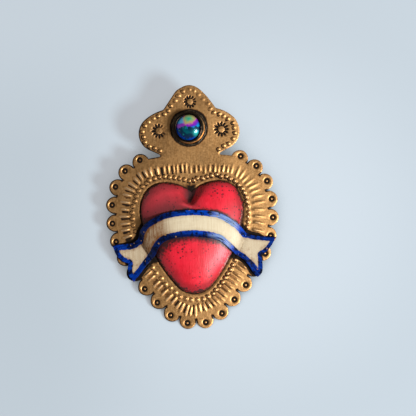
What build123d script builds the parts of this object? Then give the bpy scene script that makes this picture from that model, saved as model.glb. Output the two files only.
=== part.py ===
from build123d import *
import os
from math import asin, cos, degrees, radians, sin, sqrt

# Millimetres and degrees. The charm is drawn lying on its back: x to the right, y up from its foot,
# z out of its face, with z = 0 on the back of the plate. It is stood on its foot as it is written out.

# Plate: a line through the punched scallops runs in tangent arcs from the foot up to the shoulder
SHEET = 0.4
FOOT_RISE = 1.75
FOOT_RADIUS = 11.3
FOOT_TURN = 44.6
FLANK_RADIUS = 83.0
FLANK_TURN = 10.9
SIDE_RADIUS = 28.9
SIDE_TURN = 47.7
SHOULDER_RADIUS = 13.4
SHOULDER_TURN = 69.2

# Scallops stand along that line, and a round nick ends each notch between two of them
SCALLOPS_PER_SIDE = 12
LAST_SCALLOP_GAP = 0.85
SCALLOP_SLACK = 0.12
SCALLOP_SETBACK = 0.85
EDGE_SETBACK = 0.5
NICK_RADIUS = 0.4
NICK_SETBACK = 0.55

# Chased work: ribs square to that line, short of the scallops and the heart, and beads round the heart
RIB_RISE = 0.45
RIB_WIDTH = 0.9
RIB_LENGTH = 2.65
RIB_SPACING = 1.7
RIB_SETBACK = 2.35
RIB_HEART_GAP = 2.75
BEAD_RISE = 0.42
BEAD_BALL = 0.58
BEAD_SPACING = 1.5
BEAD_HEART_GAP = 1.8

# Crown: apex, flanks, hollows and side lobes down to the neck
CROWN_HEIGHT = 19.75
APEX_RADIUS = 4.05
APEX_TURN = 54.3
CROWN_FLANK = 5.9
HOLLOW_RADIUS = 1.2
HOLLOW_TURN = 39.6
LOBE_TOP_RADIUS = 14.0
LOBE_TOP_TURN = 23.6
LOBE_RADIUS = 5.2
LOBE_TURN = 115.4
NECK_WIDTH = 17.3
NECK_ROOT = 4.0

# Heart: a hollow dome, its outline in tangent arcs from its foot to its cleft
HEART_FOOT_GAP = 8.75
HEART_FOOT_RADIUS = 6.6
HEART_FOOT_TURN = 49.3
HEART_FLANK_RADIUS = 43.2
HEART_FLANK_TURN = 28.8
HEART_SIDE_RADIUS = 10.7
HEART_SIDE_TURN = 39.0
HEART_LOBE_RADIUS = 6.25
HEART_LOBE_DROP = 2.9
HEART_MIDDLE = 17.5
HEART_RISE = 4.2
HEART_WALL = 0.4
HEART_FULLNESS = 2.5
HEART_LEVELS = 6
HEART_CAP_TURN = 75.0

# Banner: an arched band over the heart with a swallow tail on each side, heights above the heart's foot
BANNER_SHEET = 0.4
BANNER_GAP = 0.06
BAND_TOP = 24.0
BAND_BOTTOM = 16.2
FOLD_TOP_X = 15.2
FOLD_TOP_Y = 16.9
FOLD_BOTTOM_X = 11.7
FOLD_BOTTOM_Y = 11.3
TAIL_TIP_X = 23.4
TAIL_TIP_Y = 15.2
TAIL_NOTCH_X = 19.2
TAIL_NOTCH_Y = 10.9
TAIL_FOOT_X = 17.8
TAIL_FOOT_Y = 4.0
TAIL_BULGE = 0.6

# Stone and its cup on the crown
STONE_RADIUS = 4.0
STONE_GIRDLE = 1.0
STONE_DOME = 2.3
STONE_GAP = 0.05
CUP_DROP = 12.3
CUP_WALL = 0.5
CUP_FLOOR = 0.3
LIP_OVERLAP = 0.35
LIP_GAP = 0.1
SOLDER_WIDTH = 0.6
SOLDER_RISE = 0.7
SOLDER_GAP = 0.02

# Bar pin on the back
PIN_HEIGHT = 38.0
PIN_STANDOFF = 3.4
BAR_THICKNESS = 0.7
BAR_WIDTH = 4.6
BAR_END = 1.6
BAR_CORNER = 0.8
PLUG_RADIUS = 1.0
PLUG_SPACING = 12.0
PLUG_HEAD = 0.35
PLUG_HEAD_RADIUS = 1.35
PLUG_GAP = 0.02
STEM_RADIUS = 0.45
STEM_FREE = 20.6
POINT_LENGTH = 4.6
SHANK_EXTRA = 0.1
EYE_RADIUS = 1.2
EYE_THICKNESS = 1.0
EYE_GAP = 0.12
HINGE_REACH = 1.7
RIVET_RADIUS = 0.5
RIVET_RUNNING = 0.05
RIVET_FIT = 0.01
RIVET_HEAD_RADIUS = 0.85
RIVET_HEAD = 0.35
EAR_THICKNESS = 0.6
EAR_MARGIN = 0.8

# Catch: a C-shaped housing with a slotted safety roller in it
CATCH_REACH = 0.7
CATCH_LENGTH = 2.4
ROLLER_BORE_GAP = 0.17
ROLLER_WALL = 0.82
ROLLER_RUNNING = 0.06
ROLLER_SIDE_GAP = 0.06
FLANGE_RISE = 0.35
FLANGE_THICKNESS = 0.35
HOUSING_WALL = 0.55
MOUTH_GAP = 0.15
LEVER_LENGTH = 1.7
LEVER_WIDTH = 1.2
LEVER_THICKNESS = 0.8
FOOT_WIDTH = 2.0
TENON_RADIUS = 0.8

BIG = 100.0


def arc_chain(start, direction, arcs):
    # tangent arcs end to end, each a radius and a turn, positive to the left
    edges = []
    for radius, turn in arcs:
        edge = JernArc(start, direction, radius, turn)
        edges.append(edge)
        start = edge @ 1
        direction = edge % 1
    return edges, start, direction


def whole(edges):
    # the face inside a right half and its mirror image
    return make_face(edges + [mirror(edge, about=Plane.YZ) for edge in edges])


def ring_line(setback):
    # right half of the line through the scallops, moved inward by the setback
    arcs = [
        (FOOT_RADIUS - setback, FOOT_TURN),
        (FLANK_RADIUS - setback, FLANK_TURN),
        (SIDE_RADIUS - setback, SIDE_TURN),
        (SHOULDER_RADIUS - setback, SHOULDER_TURN),
    ]
    return arc_chain((0, FOOT_RISE + setback), (1, 0), arcs)


def closed_line(setback):
    # the ring line and the flat arc that closes it across the neck
    edges, end, direction = ring_line(setback)
    closing_turn = 180 - FOOT_TURN - FLANK_TURN - SIDE_TURN - SHOULDER_TURN
    return edges + [JernArc(end, direction, end.X / sin(radians(closing_turn)), closing_turn)]


def set_back(wire, distance, setback):
    # a point at a distance along a wire from the foot, set back to its left, and the way inward there
    place = wire.position_at(distance, position_mode=PositionMode.LENGTH)
    ahead = wire.tangent_at(distance, position_mode=PositionMode.LENGTH)
    inward = Vector(-ahead.Y, ahead.X)
    return place + inward * setback, inward


def neck_height():
    # height of the plate's edge where the crown's neck leaves it
    edges, end, direction = ring_line(0)
    closing_turn = 180 - FOOT_TURN - FLANK_TURN - SIDE_TURN - SHOULDER_TURN
    radius = end.X / sin(radians(closing_turn))
    centre = end.Y - radius * cos(radians(closing_turn))
    return centre + sqrt(radius ** 2 - (NECK_WIDTH / 2) ** 2)


def crown_face():
    # apex, flank, hollow, lobe and neck on the right, and the root inside the plate
    neck = neck_height()
    corner = (NECK_WIDTH / 2, neck)
    apex, end, direction = arc_chain((0, neck + CROWN_HEIGHT), (1, 0), [(APEX_RADIUS, -APEX_TURN)])
    flank = Line(end, end + direction * CROWN_FLANK)
    sides = [(HOLLOW_RADIUS, HOLLOW_TURN), (LOBE_TOP_RADIUS, -LOBE_TOP_TURN), (LOBE_RADIUS, -LOBE_TURN)]
    lobe, end, direction = arc_chain(flank @ 1, direction, sides)
    under = Line(end, corner)
    root = Line(corner, (0, neck - NECK_ROOT))
    return whole(apex + [flank] + lobe + [under, root])


def ribs():
    # round bars sunk half way into the sheet, cut short where they would reach the heart's beads
    root = SHEET / 2
    half = RIB_WIDTH / 2
    section = make_face([
        Line((-half, root), (half, root)),
        Line((half, root), (half, SHEET)),
        ThreePointArc((half, SHEET), (0, SHEET + RIB_RISE), (-half, SHEET)),
        Line((-half, SHEET), (-half, root)),
    ])
    clear = extrude(heart_face(RIB_HEART_GAP), SHEET + 2 * RIB_RISE)
    line = Wire(closed_line(0))
    count = int(line.length / RIB_SPACING)
    bars = []
    for number in range(count):
        start, inward = set_back(line, (number + 0.5) * line.length / count, RIB_SETBACK)
        across = Vector(inward.Y, -inward.X)
        upright = Plane(origin=start, x_dir=-across, z_dir=inward)
        bar = extrude(upright * section, RIB_LENGTH) - clear
        bars += [bar, mirror(bar, about=Plane.YZ)]
    return bars


def beads():
    # half balls sunk into the sheet in a row round the heart
    line = heart_face(BEAD_HEART_GAP).face().outer_wire()
    count = int(line.length / BEAD_SPACING)
    ball = Sphere(BEAD_BALL, arc_size1=0, align=(Align.CENTER, Align.CENTER, Align.MIN))
    row = []
    for number in range(count):
        place = line.position_at(number * line.length / count, position_mode=PositionMode.LENGTH)
        row.append(Pos(place.X, place.Y, SHEET + BEAD_RISE - BEAD_BALL) * ball)
    return row


def backplate():
    line = Wire(ring_line(0)[0])
    pitch = (line.length - LAST_SCALLOP_GAP) / SCALLOPS_PER_SIDE
    face = whole(closed_line(EDGE_SETBACK)) + crown_face()
    nicks = []
    for number in range(SCALLOPS_PER_SIDE):
        place, inward = set_back(line, (number + 0.5) * pitch, SCALLOP_SETBACK)
        scallop = Circle(pitch / 2 - SCALLOP_SLACK)
        face += [Pos(place.X, place.Y) * scallop, Pos(-place.X, place.Y) * scallop]
        if number > 0:
            place, inward = set_back(line, number * pitch, NICK_SETBACK)
            nicks += [Pos(place.X, place.Y) * Circle(NICK_RADIUS), Pos(-place.X, place.Y) * Circle(NICK_RADIUS)]
    face -= nicks
    return extrude(face, SHEET) + ribs() + beads()


def heart_face(grow, share=1.0):
    # the heart's outline grown outward, then drawn in about its middle to a share of its size
    arcs = [
        (HEART_FOOT_RADIUS + grow, HEART_FOOT_TURN),
        (HEART_FLANK_RADIUS + grow, HEART_FLANK_TURN),
        (HEART_SIDE_RADIUS + grow, HEART_SIDE_TURN),
        (HEART_LOBE_RADIUS + grow, 180 - HEART_FOOT_TURN - HEART_FLANK_TURN - HEART_SIDE_TURN),
    ]
    edges, top, direction = arc_chain((0, -HEART_MIDDLE - grow), (1, 0), arcs)
    # the inner arc of the lobe drops from its top to the cleft on the axis
    inner_radius = (top.X ** 2 + HEART_LOBE_DROP ** 2) / (2 * HEART_LOBE_DROP) + grow
    inner = JernArc(top, direction, inner_radius, degrees(asin(top.X / inner_radius)))
    face = scale(whole(edges + [inner]), share)
    return Pos(0, FOOT_RISE + HEART_FOOT_GAP + HEART_MIDDLE) * face


def heart_dome(grow):
    # levels of the dome: at angle a the outline shrinks by cos(a) to a power and rises by sin(a)
    levels = []
    for number in range(HEART_LEVELS):
        angle = radians(HEART_CAP_TURN * number / (HEART_LEVELS - 1))
        share = cos(angle) ** (2 / HEART_FULLNESS)
        height = (HEART_RISE + grow) * sin(angle)
        levels.append(Pos(0, 0, SHEET + height) * heart_face(grow, share))
    return loft(levels)


def heart_shell():
    return heart_dome(0) - heart_dome(-HEART_WALL)


def banner():
    # the outline of the right half, then a sheet that follows the dome and lies flat on the ribs
    foot = FOOT_RISE + HEART_FOOT_GAP
    fold_top = (FOLD_TOP_X, foot + FOLD_TOP_Y)
    fold_bottom = (FOLD_BOTTOM_X, foot + FOLD_BOTTOM_Y)
    tip = (TAIL_TIP_X, foot + TAIL_TIP_Y)
    notch = (TAIL_NOTCH_X, foot + TAIL_NOTCH_Y)
    tail_foot = (TAIL_FOOT_X, foot + TAIL_FOOT_Y)
    bulge = ((TAIL_NOTCH_X + TAIL_FOOT_X) / 2 + TAIL_BULGE, foot + (TAIL_NOTCH_Y + TAIL_FOOT_Y) / 2)
    outline = [
        TangentArc((0, foot + BAND_TOP), fold_top, tangent=(1, 0)),
        Line(fold_top, tip),
        Line(tip, notch),
        ThreePointArc(notch, bulge, tail_foot),
        Line(tail_foot, fold_bottom),
        TangentArc((0, foot + BAND_BOTTOM), fold_bottom, tangent=(1, 0)),
    ]
    seat = SHEET + RIB_RISE + BANNER_GAP
    prism = Pos(0, 0, seat) * extrude(whole(outline), HEART_RISE * 2)
    flat = Pos(0, 0, seat + BANNER_SHEET / 2) * Box(BIG, 2 * BIG, BANNER_SHEET)
    sheet = heart_dome(BANNER_GAP + BANNER_SHEET) + flat - heart_dome(BANNER_GAP)
    return prism & sheet


def on_crown(shape):
    # seats a turned shape on the crown's face, below its apex
    return Pos(0, neck_height() + CROWN_HEIGHT - CUP_DROP, SHEET) * shape


def turned(points_and_curves):
    # turns a half section, drawn as radius and height, about the z axis
    return revolve(Plane.XZ * make_face(points_and_curves), Axis.Z)


def stone_height(radius):
    # height of the stone's dome over the crown at a radius, from an ellipse on the girdle
    return CUP_FLOOR + STONE_GIRDLE + STONE_DOME * sqrt(1 - (radius / STONE_RADIUS) ** 2)


def cabochon():
    girdle = CUP_FLOOR + STONE_GIRDLE
    block = Pos(0, 0, CUP_FLOOR) * extrude(Circle(STONE_RADIUS), STONE_GIRDLE)
    dome = EllipticalCenterArc((0, girdle), STONE_RADIUS, STONE_DOME, start_angle=0, arc_size=90)
    section = [dome, Line((0, girdle), (0, girdle + STONE_DOME)), Line((0, girdle), (STONE_RADIUS, girdle))]
    return on_crown(block + turned(section))


def bezel_cup():
    # floor, upright wall and a lip turned in over the stone
    inside = STONE_RADIUS + STONE_GAP
    outside = inside + CUP_WALL
    lip = STONE_RADIUS - LIP_OVERLAP
    bend = CUP_FLOOR + STONE_GIRDLE + 2 * LIP_OVERLAP
    lip_height = stone_height(lip) + LIP_GAP
    section = [
        Line((0, 0), (outside, 0)),
        Line((outside, 0), (outside, bend)),
        TangentArc((outside, bend), (lip, lip_height + CUP_WALL), tangent=(0, 1)),
        Line((lip, lip_height + CUP_WALL), (lip, lip_height)),
        Line((lip, lip_height), (inside, bend)),
        Line((inside, bend), (inside, CUP_FLOOR)),
        Line((inside, CUP_FLOOR), (0, CUP_FLOOR)),
        Line((0, CUP_FLOOR), (0, 0)),
    ]
    return on_crown(turned(section))


def bezel_solder():
    # a hollow fillet of solder round the foot of the cup
    inner = STONE_RADIUS + STONE_GAP + CUP_WALL + SOLDER_GAP
    outer = inner + SOLDER_WIDTH
    hollow = (inner + 0.3 * SOLDER_WIDTH, 0.3 * SOLDER_RISE)
    section = [
        Line((inner, 0), (outer, 0)),
        ThreePointArc((outer, 0), hollow, (inner, SOLDER_RISE)),
        Line((inner, SOLDER_RISE), (inner, 0)),
    ]
    return on_crown(turned(section))


def on_back(shape):
    # moves a piece of the bar pin from the plate's back at the origin to its height on the charm
    return Pos(0, PIN_HEIGHT, 0) * shape


def rod(radius, x_start, x_end):
    # a round bar along x on the axis of the stem
    return Pos(x_start, 0, -PIN_STANDOFF) * extrude(Plane.YZ * Circle(radius), x_end - x_start)


def cross_rod(radius, x, width):
    # a round bar along y through the axis of the stem, centred on the fitting
    return Pos(x, width / 2, -PIN_STANDOFF) * extrude(Plane.XZ * Circle(radius), width)


def hinge_x():
    return -STEM_FREE / 2 - HINGE_REACH


def catch_start():
    return STEM_FREE / 2 + CATCH_REACH


def catch_middle():
    return catch_start() + CATCH_LENGTH / 2


def ear_outside():
    return EYE_THICKNESS / 2 + EYE_GAP + EAR_THICKNESS


def pin_bar():
    # a flat bar with two ears that carry the rivet, two plug holes and a hole for the catch
    left = hinge_x() - BAR_END
    right = catch_start() + CATCH_LENGTH + FLANGE_THICKNESS
    blank = Pos((left + right) / 2, 0) * RectangleRounded(right - left, BAR_WIDTH, BAR_CORNER)
    holes = [Pos(side * PLUG_SPACING / 2, 0) * Circle(PLUG_RADIUS) for side in (-1, 1)]
    holes.append(Pos(catch_middle(), 0) * Circle(TENON_RADIUS + RIVET_FIT))
    bar = Pos(0, 0, -BAR_THICKNESS) * extrude(blank - holes, BAR_THICKNESS)
    ear_radius = RIVET_RADIUS + EAR_MARGIN
    inner = EYE_THICKNESS / 2 + EYE_GAP
    for side in (-1, 1):
        middle = side * (inner + EAR_THICKNESS / 2)
        web_height = PIN_STANDOFF - BAR_THICKNESS / 2
        web = Pos(hinge_x(), middle, -PIN_STANDOFF + web_height / 2)
        bar += web * Box(2 * ear_radius, EAR_THICKNESS, web_height)
        bar += Pos(0, middle, 0) * cross_rod(ear_radius, hinge_x(), EAR_THICKNESS)
    return on_back(bar - cross_rod(RIVET_RADIUS + RIVET_FIT, hinge_x(), 2 * ear_outside()))


def bar_solder():
    # two plugs of solder that fill the bar's holes and spread over it
    plugs = []
    for side in (-1, 1):
        shank = Pos(0, 0, -BAR_THICKNESS) * extrude(Circle(PLUG_RADIUS - PLUG_GAP), BAR_THICKNESS)
        head = Pos(0, 0, -BAR_THICKNESS - PLUG_HEAD) * extrude(Circle(PLUG_HEAD_RADIUS), PLUG_HEAD)
        head = fillet(head.edges().group_by(Axis.Z)[0], PLUG_HEAD * 0.8)
        plugs.append(on_back(Pos(side * PLUG_SPACING / 2, 0) * (shank + head)))
    return Compound(children=plugs)


def hinge_rivet():
    # shank through both ears, with a head on each side
    rivet = cross_rod(RIVET_RADIUS, hinge_x(), 2 * (ear_outside() + RIVET_HEAD / 2))
    for side in (-1, 1):
        head = cross_rod(RIVET_HEAD_RADIUS, hinge_x(), RIVET_HEAD)
        rivet += Pos(0, side * (ear_outside() + RIVET_HEAD / 2), 0) * head
    return on_back(rivet)


def pin_stem():
    # flattened eye, stout shank, free round stretch and long point
    free = STEM_FREE / 2
    eye = cross_rod(EYE_RADIUS, hinge_x(), EYE_THICKNESS)
    shank_start = hinge_x() + EYE_RADIUS / 2
    shank_length = -free - shank_start
    shank = Cone(STEM_RADIUS + SHANK_EXTRA, STEM_RADIUS, shank_length)
    shank = Pos(shank_start + shank_length / 2, 0, -PIN_STANDOFF) * Rot(0, 90, 0) * shank
    point = Cone(STEM_RADIUS, STEM_RADIUS / 10, POINT_LENGTH)
    point = Pos(free + POINT_LENGTH / 2, 0, -PIN_STANDOFF) * Rot(0, 90, 0) * point
    bored = eye + shank - cross_rod(RIVET_RADIUS + RIVET_RUNNING, hinge_x(), 2 * EYE_THICKNESS)
    return on_back(bored + rod(STEM_RADIUS, -free, free) + point)


def slot(width, x_start, x_end, depth):
    # a straight-sided cutter along x that opens away from the plate
    block = Pos((x_start + x_end) / 2, 0, -PIN_STANDOFF - depth / 2)
    return block * Box(x_end - x_start, width, depth)


def roller_radius():
    return STEM_RADIUS + ROLLER_BORE_GAP + ROLLER_WALL


def mouth_width():
    return 2 * (STEM_RADIUS + MOUTH_GAP)


def catch_housing():
    # a C on a foot, with a tenon riveted into the bar
    start = catch_start()
    end = start + CATCH_LENGTH
    bore = rod(roller_radius() + ROLLER_RUNNING, start, end)
    ring = rod(roller_radius() + ROLLER_RUNNING + HOUSING_WALL, start, end)
    foot_height = PIN_STANDOFF - BAR_THICKNESS
    foot = Pos(catch_middle(), 0, -BAR_THICKNESS - foot_height / 2) * Box(CATCH_LENGTH, FOOT_WIDTH, foot_height)
    tenon = Pos(catch_middle(), 0, -BAR_THICKNESS) * extrude(Circle(TENON_RADIUS), BAR_THICKNESS)
    return on_back(ring + foot + tenon - bore - slot(mouth_width(), start, end, PIN_STANDOFF))


def safety_roller():
    # a slotted roller with a flange on each side of the housing and a thumb lever on the outer one
    start = catch_start() - ROLLER_SIDE_GAP
    end = catch_start() + CATCH_LENGTH + ROLLER_SIDE_GAP
    flange_radius = roller_radius() + FLANGE_RISE
    roller = rod(roller_radius(), start, end)
    roller += rod(flange_radius, start - FLANGE_THICKNESS, start)
    roller += rod(flange_radius, end, end + LEVER_THICKNESS)
    reach = flange_radius + LEVER_LENGTH
    lever = Pos(end + LEVER_THICKNESS / 2, -reach / 2, -PIN_STANDOFF)
    roller += lever * Box(LEVER_THICKNESS, reach, LEVER_WIDTH)
    far = end + LEVER_THICKNESS
    bore = rod(STEM_RADIUS + ROLLER_BORE_GAP, start - FLANGE_THICKNESS, far)
    mouth = slot(mouth_width(), start - FLANGE_THICKNESS, far, PIN_STANDOFF)
    return on_back(roller - bore - mouth)


def stood_up(shape):
    # face to -Y and crown to +Z, with the origin on the stem's axis at the middle of its free stretch
    return Plane.XZ.location * Pos(0, -PIN_HEIGHT, PIN_STANDOFF) * shape


os.makedirs("parts", exist_ok=True)
pieces = [
    backplate,
    heart_shell,
    banner,
    bezel_cup,
    bezel_solder,
    cabochon,
    pin_bar,
    bar_solder,
    hinge_rivet,
    pin_stem,
    catch_housing,
    safety_roller,
]
for piece in pieces:
    export_step(stood_up(piece()), f"parts/{piece.__name__}.step")
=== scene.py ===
import math

import bmesh
import bpy
import numpy as np
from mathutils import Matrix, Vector
from mathutils.geometry import delaunay_2d_cdt


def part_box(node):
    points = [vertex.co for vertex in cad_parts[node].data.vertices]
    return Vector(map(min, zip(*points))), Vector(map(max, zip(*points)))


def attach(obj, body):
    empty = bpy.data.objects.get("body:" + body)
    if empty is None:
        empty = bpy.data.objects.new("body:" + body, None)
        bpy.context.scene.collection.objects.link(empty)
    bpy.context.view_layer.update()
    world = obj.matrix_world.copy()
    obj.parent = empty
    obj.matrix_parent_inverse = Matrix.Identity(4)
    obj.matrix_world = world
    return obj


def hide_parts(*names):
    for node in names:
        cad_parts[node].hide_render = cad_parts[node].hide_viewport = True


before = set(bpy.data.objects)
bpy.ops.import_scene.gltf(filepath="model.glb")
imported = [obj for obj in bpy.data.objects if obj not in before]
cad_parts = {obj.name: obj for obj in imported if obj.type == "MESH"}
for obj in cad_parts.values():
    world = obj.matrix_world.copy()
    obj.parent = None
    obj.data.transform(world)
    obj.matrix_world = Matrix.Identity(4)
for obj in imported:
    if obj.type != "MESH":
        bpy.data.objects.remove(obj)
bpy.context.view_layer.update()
mm = 0.001
chance = np.random.default_rng(12)   # the hand that set out the ornament, the same each run

# Shapes are worked out lying on the bench, in millimetres:
# u to the right, v up from the foot, w out of the face, with w = 0 on the back of the plate.


# Curves on the bench.

def arcRun(start, heading, runs, step=0.12):
    # runs end to end: an arc turns its heading evenly over radius times turn, a turn of 0 is straight
    place = np.array(start, float)
    points, headings, lengths = [place[None]], [np.array([heading])], [np.zeros(1)]
    for size, turn in runs:
        swing = math.radians(turn)
        length = size * abs(swing) if turn else size
        part = np.linspace(0, 1, max(3, int(length / step)) + 1)[1:]
        turned = heading + swing * part
        radius = math.copysign(size, turn)
        bent = radius * np.stack([np.sin(turned) - math.sin(heading), math.cos(heading) - np.cos(turned)], 1)
        straight = np.outer(part * length, [math.cos(heading), math.sin(heading)])
        points.append(place + (bent if turn else straight))
        headings.append(turned)
        lengths.append(lengths[-1][-1] + part * length)
        place, heading = points[-1][-1], heading + swing
    return np.vstack(points), np.hstack(headings), np.hstack(lengths)


def runOf(points):
    # length along a line up to each of its points
    return np.hstack([0, np.cumsum(np.hypot(*np.diff(points, axis=0).T))])


def alongLine(steps, run, points):
    # places on a line at lengths along it
    return np.stack([np.interp(steps, run, points[:, k]) for k in (0, 1)], -1)


def through(points, part):
    # a smooth curve through the points by share of its length: cubic spans set by the slopes at their ends
    points = np.array(points, float)
    run = runOf(points)
    run = run / run[-1]
    slopes = np.gradient(points, run, axis=0)
    span = np.clip(np.searchsorted(run, part, side="right") - 1, 0, len(run) - 2)
    width = (run[span + 1] - run[span])[..., None]
    t = (part - run[span])[..., None] / width
    return ((2 * t ** 3 - 3 * t ** 2 + 1) * points[span] + (t ** 3 - 2 * t ** 2 + t) * width * slopes[span]
            + (3 * t ** 2 - 2 * t ** 3) * points[span + 1] + (t ** 3 - t ** 2) * width * slopes[span + 1])


def distances(points, targets):
    # from each point to each of the targets
    return np.sqrt(((points[:, None] - targets) ** 2).sum(-1))


def nearest(points, targets):
    # least distance from each point to any of the targets, worked out in blocks
    blocks = np.array_split(points, max(1, len(points) * len(targets) // 4000000))
    return np.hstack([distances(block, targets).min(1) for block in blocks])


def smooth(low, high, x):
    # eases from 0 at low to 1 at high
    t = np.clip((x - low) / (high - low), 0, 1)
    return t * t * (3 - 2 * t)


def bump(t):
    # a round hill: (1 - t squared) squared inside 1, nothing outside
    return np.clip(1 - t * t, 0, None) ** 2


def sway(u, v, size):
    # slow unevenness of hand-worked sheet: a few crossed waves
    return (np.sin(u / size + 1.3) * np.cos(v / size * 0.8) + np.sin((u + v) / size * 0.6 + 2.1)
            + np.cos((u - 1.7 * v) / size * 0.45)) / 3


# Plate: ring line, scallops and crown.

plate = {
    "sheet": 0.4,
    "footRise": 1.75,
    "ringArcs": [(11.3, 44.6), (83.0, 10.9), (28.9, 47.7), (13.4, 69.2)],
    "scallops": 12,
    "lastGap": 0.85,
    "lobeSlack": 0.03,
    "lobeRise": 2.62,
    "lobeShape": 1.25,
    "slitDepth": 0.9,
    "edgeSetback": 0.5,
    "neckWidth": 17.3,
    "crownHeight": 19.75,
    "crownRuns": [(4.05, -54.3), (5.9, 0), (1.2, 39.6), (14.0, -23.6), (5.2, -115.4), (3.3, 0)],
    "edgeRound": 0.16,
    "sway": 0.05,
    "rimFall": 0.07,
    "crownBend": 420.0,
}

ringEnd = arcRun((0, plate["footRise"]), 0.0, plate["ringArcs"])
closingTurn = 180 - sum(turn for size, turn in plate["ringArcs"])
closingRadius = ringEnd[0][-1, 0] / math.sin(math.radians(closingTurn))
ringPoints, ringHeadings, ringLengths = arcRun(
    (0, plate["footRise"]), 0.0, plate["ringArcs"] + [(closingRadius, closingTurn)])
pitch = (ringEnd[2][-1] - plate["lastGap"]) / plate["scallops"]
neckHeight = ringPoints[-1, 1] - closingRadius + math.sqrt(closingRadius ** 2 - (plate["neckWidth"] / 2) ** 2)
apexHeight = neckHeight + plate["crownHeight"]

plateLow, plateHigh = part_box("backplate")
backY = plateHigh.y
footZ = plateHigh.z - apexHeight * mm


def toFrame(u, v, w):
    # bench to frame: u along X, v up Z from the foot, w towards the viewer from the plate's back
    return np.stack(np.broadcast_arrays(u * mm, backY - w * mm, footZ + v * mm), -1)


def toBench(points):
    return points[:, 0] / mm, (points[:, 2] - footZ) / mm, (backY - points[:, 1]) / mm


def onRing(along, out):
    # a place at a length along the ring line from the foot, negative on the left, moved outward square to it
    along, out = np.broadcast_arrays(np.asarray(along, float), np.asarray(out, float))
    heading = np.interp(abs(along), ringLengths, ringHeadings)
    u = np.interp(abs(along), ringLengths, ringPoints[:, 0]) + out * np.sin(heading)
    v = np.interp(abs(along), ringLengths, ringPoints[:, 1]) - out * np.cos(heading)
    return np.stack([np.where(along < 0, -u, u), v], -1)


def crownLine(inset):
    # the crown's right edge from its apex to the neck: outward bends lose the inset, the hollow gains it
    runs = [(size + inset * np.sign(turn), turn) for size, turn in plate["crownRuns"]]
    return arcRun((0, apexHeight - inset), 0.0, runs)


def plateOutline():
    # each scallop is a bell: at each turn it lies half its width times the sine from its middle,
    # and rises by the cosine to a power, so that a slit is left between neighbours
    turn = np.linspace(-math.pi / 2, math.pi / 2, 37)
    t = (pitch / 2 - plate["lobeSlack"]) * np.sin(turn)
    o = plate["lobeRise"] * np.cos(turn).clip(0) ** plate["lobeShape"] - plate["slitDepth"]
    middles = (np.arange(plate["scallops"]) + 0.5) * pitch
    along = (middles[:, None] + t).ravel()
    out = np.tile(o, plate["scallops"])
    # the last scallop runs out on the shoulder
    last = (plate["scallops"] - 1) * len(t) + np.flatnonzero(o > -0.4)[-1] + 1
    shoulder = np.linspace(along[last - 1] + 0.12, ringLengths[-1] - plate["neckWidth"] / 2, 16)
    edge = onRing(np.hstack([along[:last], shoulder]),
                  np.hstack([out[:last], np.full(16, -plate["edgeSetback"])]))
    crown = crownLine(0)[0][::-2]
    foot = np.array([[0.0, onRing(0.0, -plate["slitDepth"])[1]]])
    half = np.vstack([foot, edge, crown])
    half[-1, 0] = 0
    return np.vstack([half, half[-2:0:-1] * [-1, 1]])


outline = plateOutline()

# Heart: outline and dome.

heart = {
    "footGap": 8.75,
    "arcs": [(6.6, 49.3), (43.2, 28.8), (10.7, 39.0), (6.25, 62.9)],
    "lobeDrop": 2.9,
    "middle": 17.5,
    "rise": 4.2,
    "wall": 0.4,
    "fullness": 2.5,
    "valleyDepth": 0.72,
    "valleyFoot": 35.2,
    "valleySlant": 0.3,
    "valleyTop": (0.3, 40),
    "valleyLean": 0.3,
    "ridge": 0.3,
    "valleyLeft": 4.1,
    "valleyRight": 2.6,
    "rows": 46,
    "columns": 300,
}
heartFoot = plate["footRise"] + heart["footGap"]
heartMiddle = heartFoot + heart["middle"]


def heartLine(grow, count):
    # the closed outline in tangent arcs, grown outward, at even steps from the foot round by the right
    arcs = [(radius + grow, turn) for radius, turn in heart["arcs"]]
    top = arcRun((0, heartFoot - grow), 0.0, arcs)[0][-1]
    plain = arcRun((0, heartFoot), 0.0, heart["arcs"])[0][-1]
    inner = (plain[0] ** 2 + heart["lobeDrop"] ** 2) / (2 * heart["lobeDrop"]) + grow
    arcs.append((inner, math.degrees(math.asin(top[0] / inner))))
    points, _, lengths = arcRun((0, heartFoot - grow), 0.0, arcs)
    steps = np.linspace(-lengths[-1], lengths[-1], count, endpoint=False)
    u = np.interp(abs(steps), lengths, points[:, 0]) * np.sign(steps)
    return np.stack([u, np.interp(abs(steps), lengths, points[:, 1])], 1)


def inHeart(u, v, grow):
    # how far out a point lies from the heart's middle, as a share of the way to its grown outline
    line = heartLine(grow, 900)
    angle = np.arctan2(line[:, 1] - heartMiddle, line[:, 0])
    reach = np.hypot(line[:, 0], line[:, 1] - heartMiddle)
    order = np.argsort(angle)
    here = np.arctan2(v - heartMiddle, u)
    return np.hypot(u, v - heartMiddle) / np.interp(here, angle[order], reach[order], period=2 * math.pi)


def domeHeight(u, v, grow, rise):
    # a pressed dome: the root of one minus the share to its fullness, times the rise
    return rise * np.sqrt(np.clip(1 - inHeart(u, v, grow) ** heart["fullness"], 0, None))


def ridgeLine(u):
    # the valley's foot climbs to the left
    return heart["valleyFoot"] - heart["valleySlant"] * u


def heartRidge(u, v):
    # the ridge that the tool pushed up along the valley's foot
    return bump((v - ridgeLine(u) - 0.25) / 0.8) * bump((u + 1.2) / 3.8)


def valleyLine(v):
    # the middle of the valley leans left going down
    across, top = heart["valleyTop"]
    return across - heart["valleyLean"] * (top - v)


def heartValley(u, v):
    # the valley from the cleft: its sides widen going up, its lip is rounded
    rise = np.clip(v - ridgeLine(u), 0, None)
    line = valleyLine(v)
    side = np.where(u < line, heart["valleyLeft"], heart["valleyRight"]) * np.sqrt(rise / 3.2 + 1e-6)
    across = np.clip(1 - abs(u - line) / (side + 0.2), 0, 1)
    return smooth(0, 0.85, across) * smooth(0, 2.2, rise)


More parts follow.
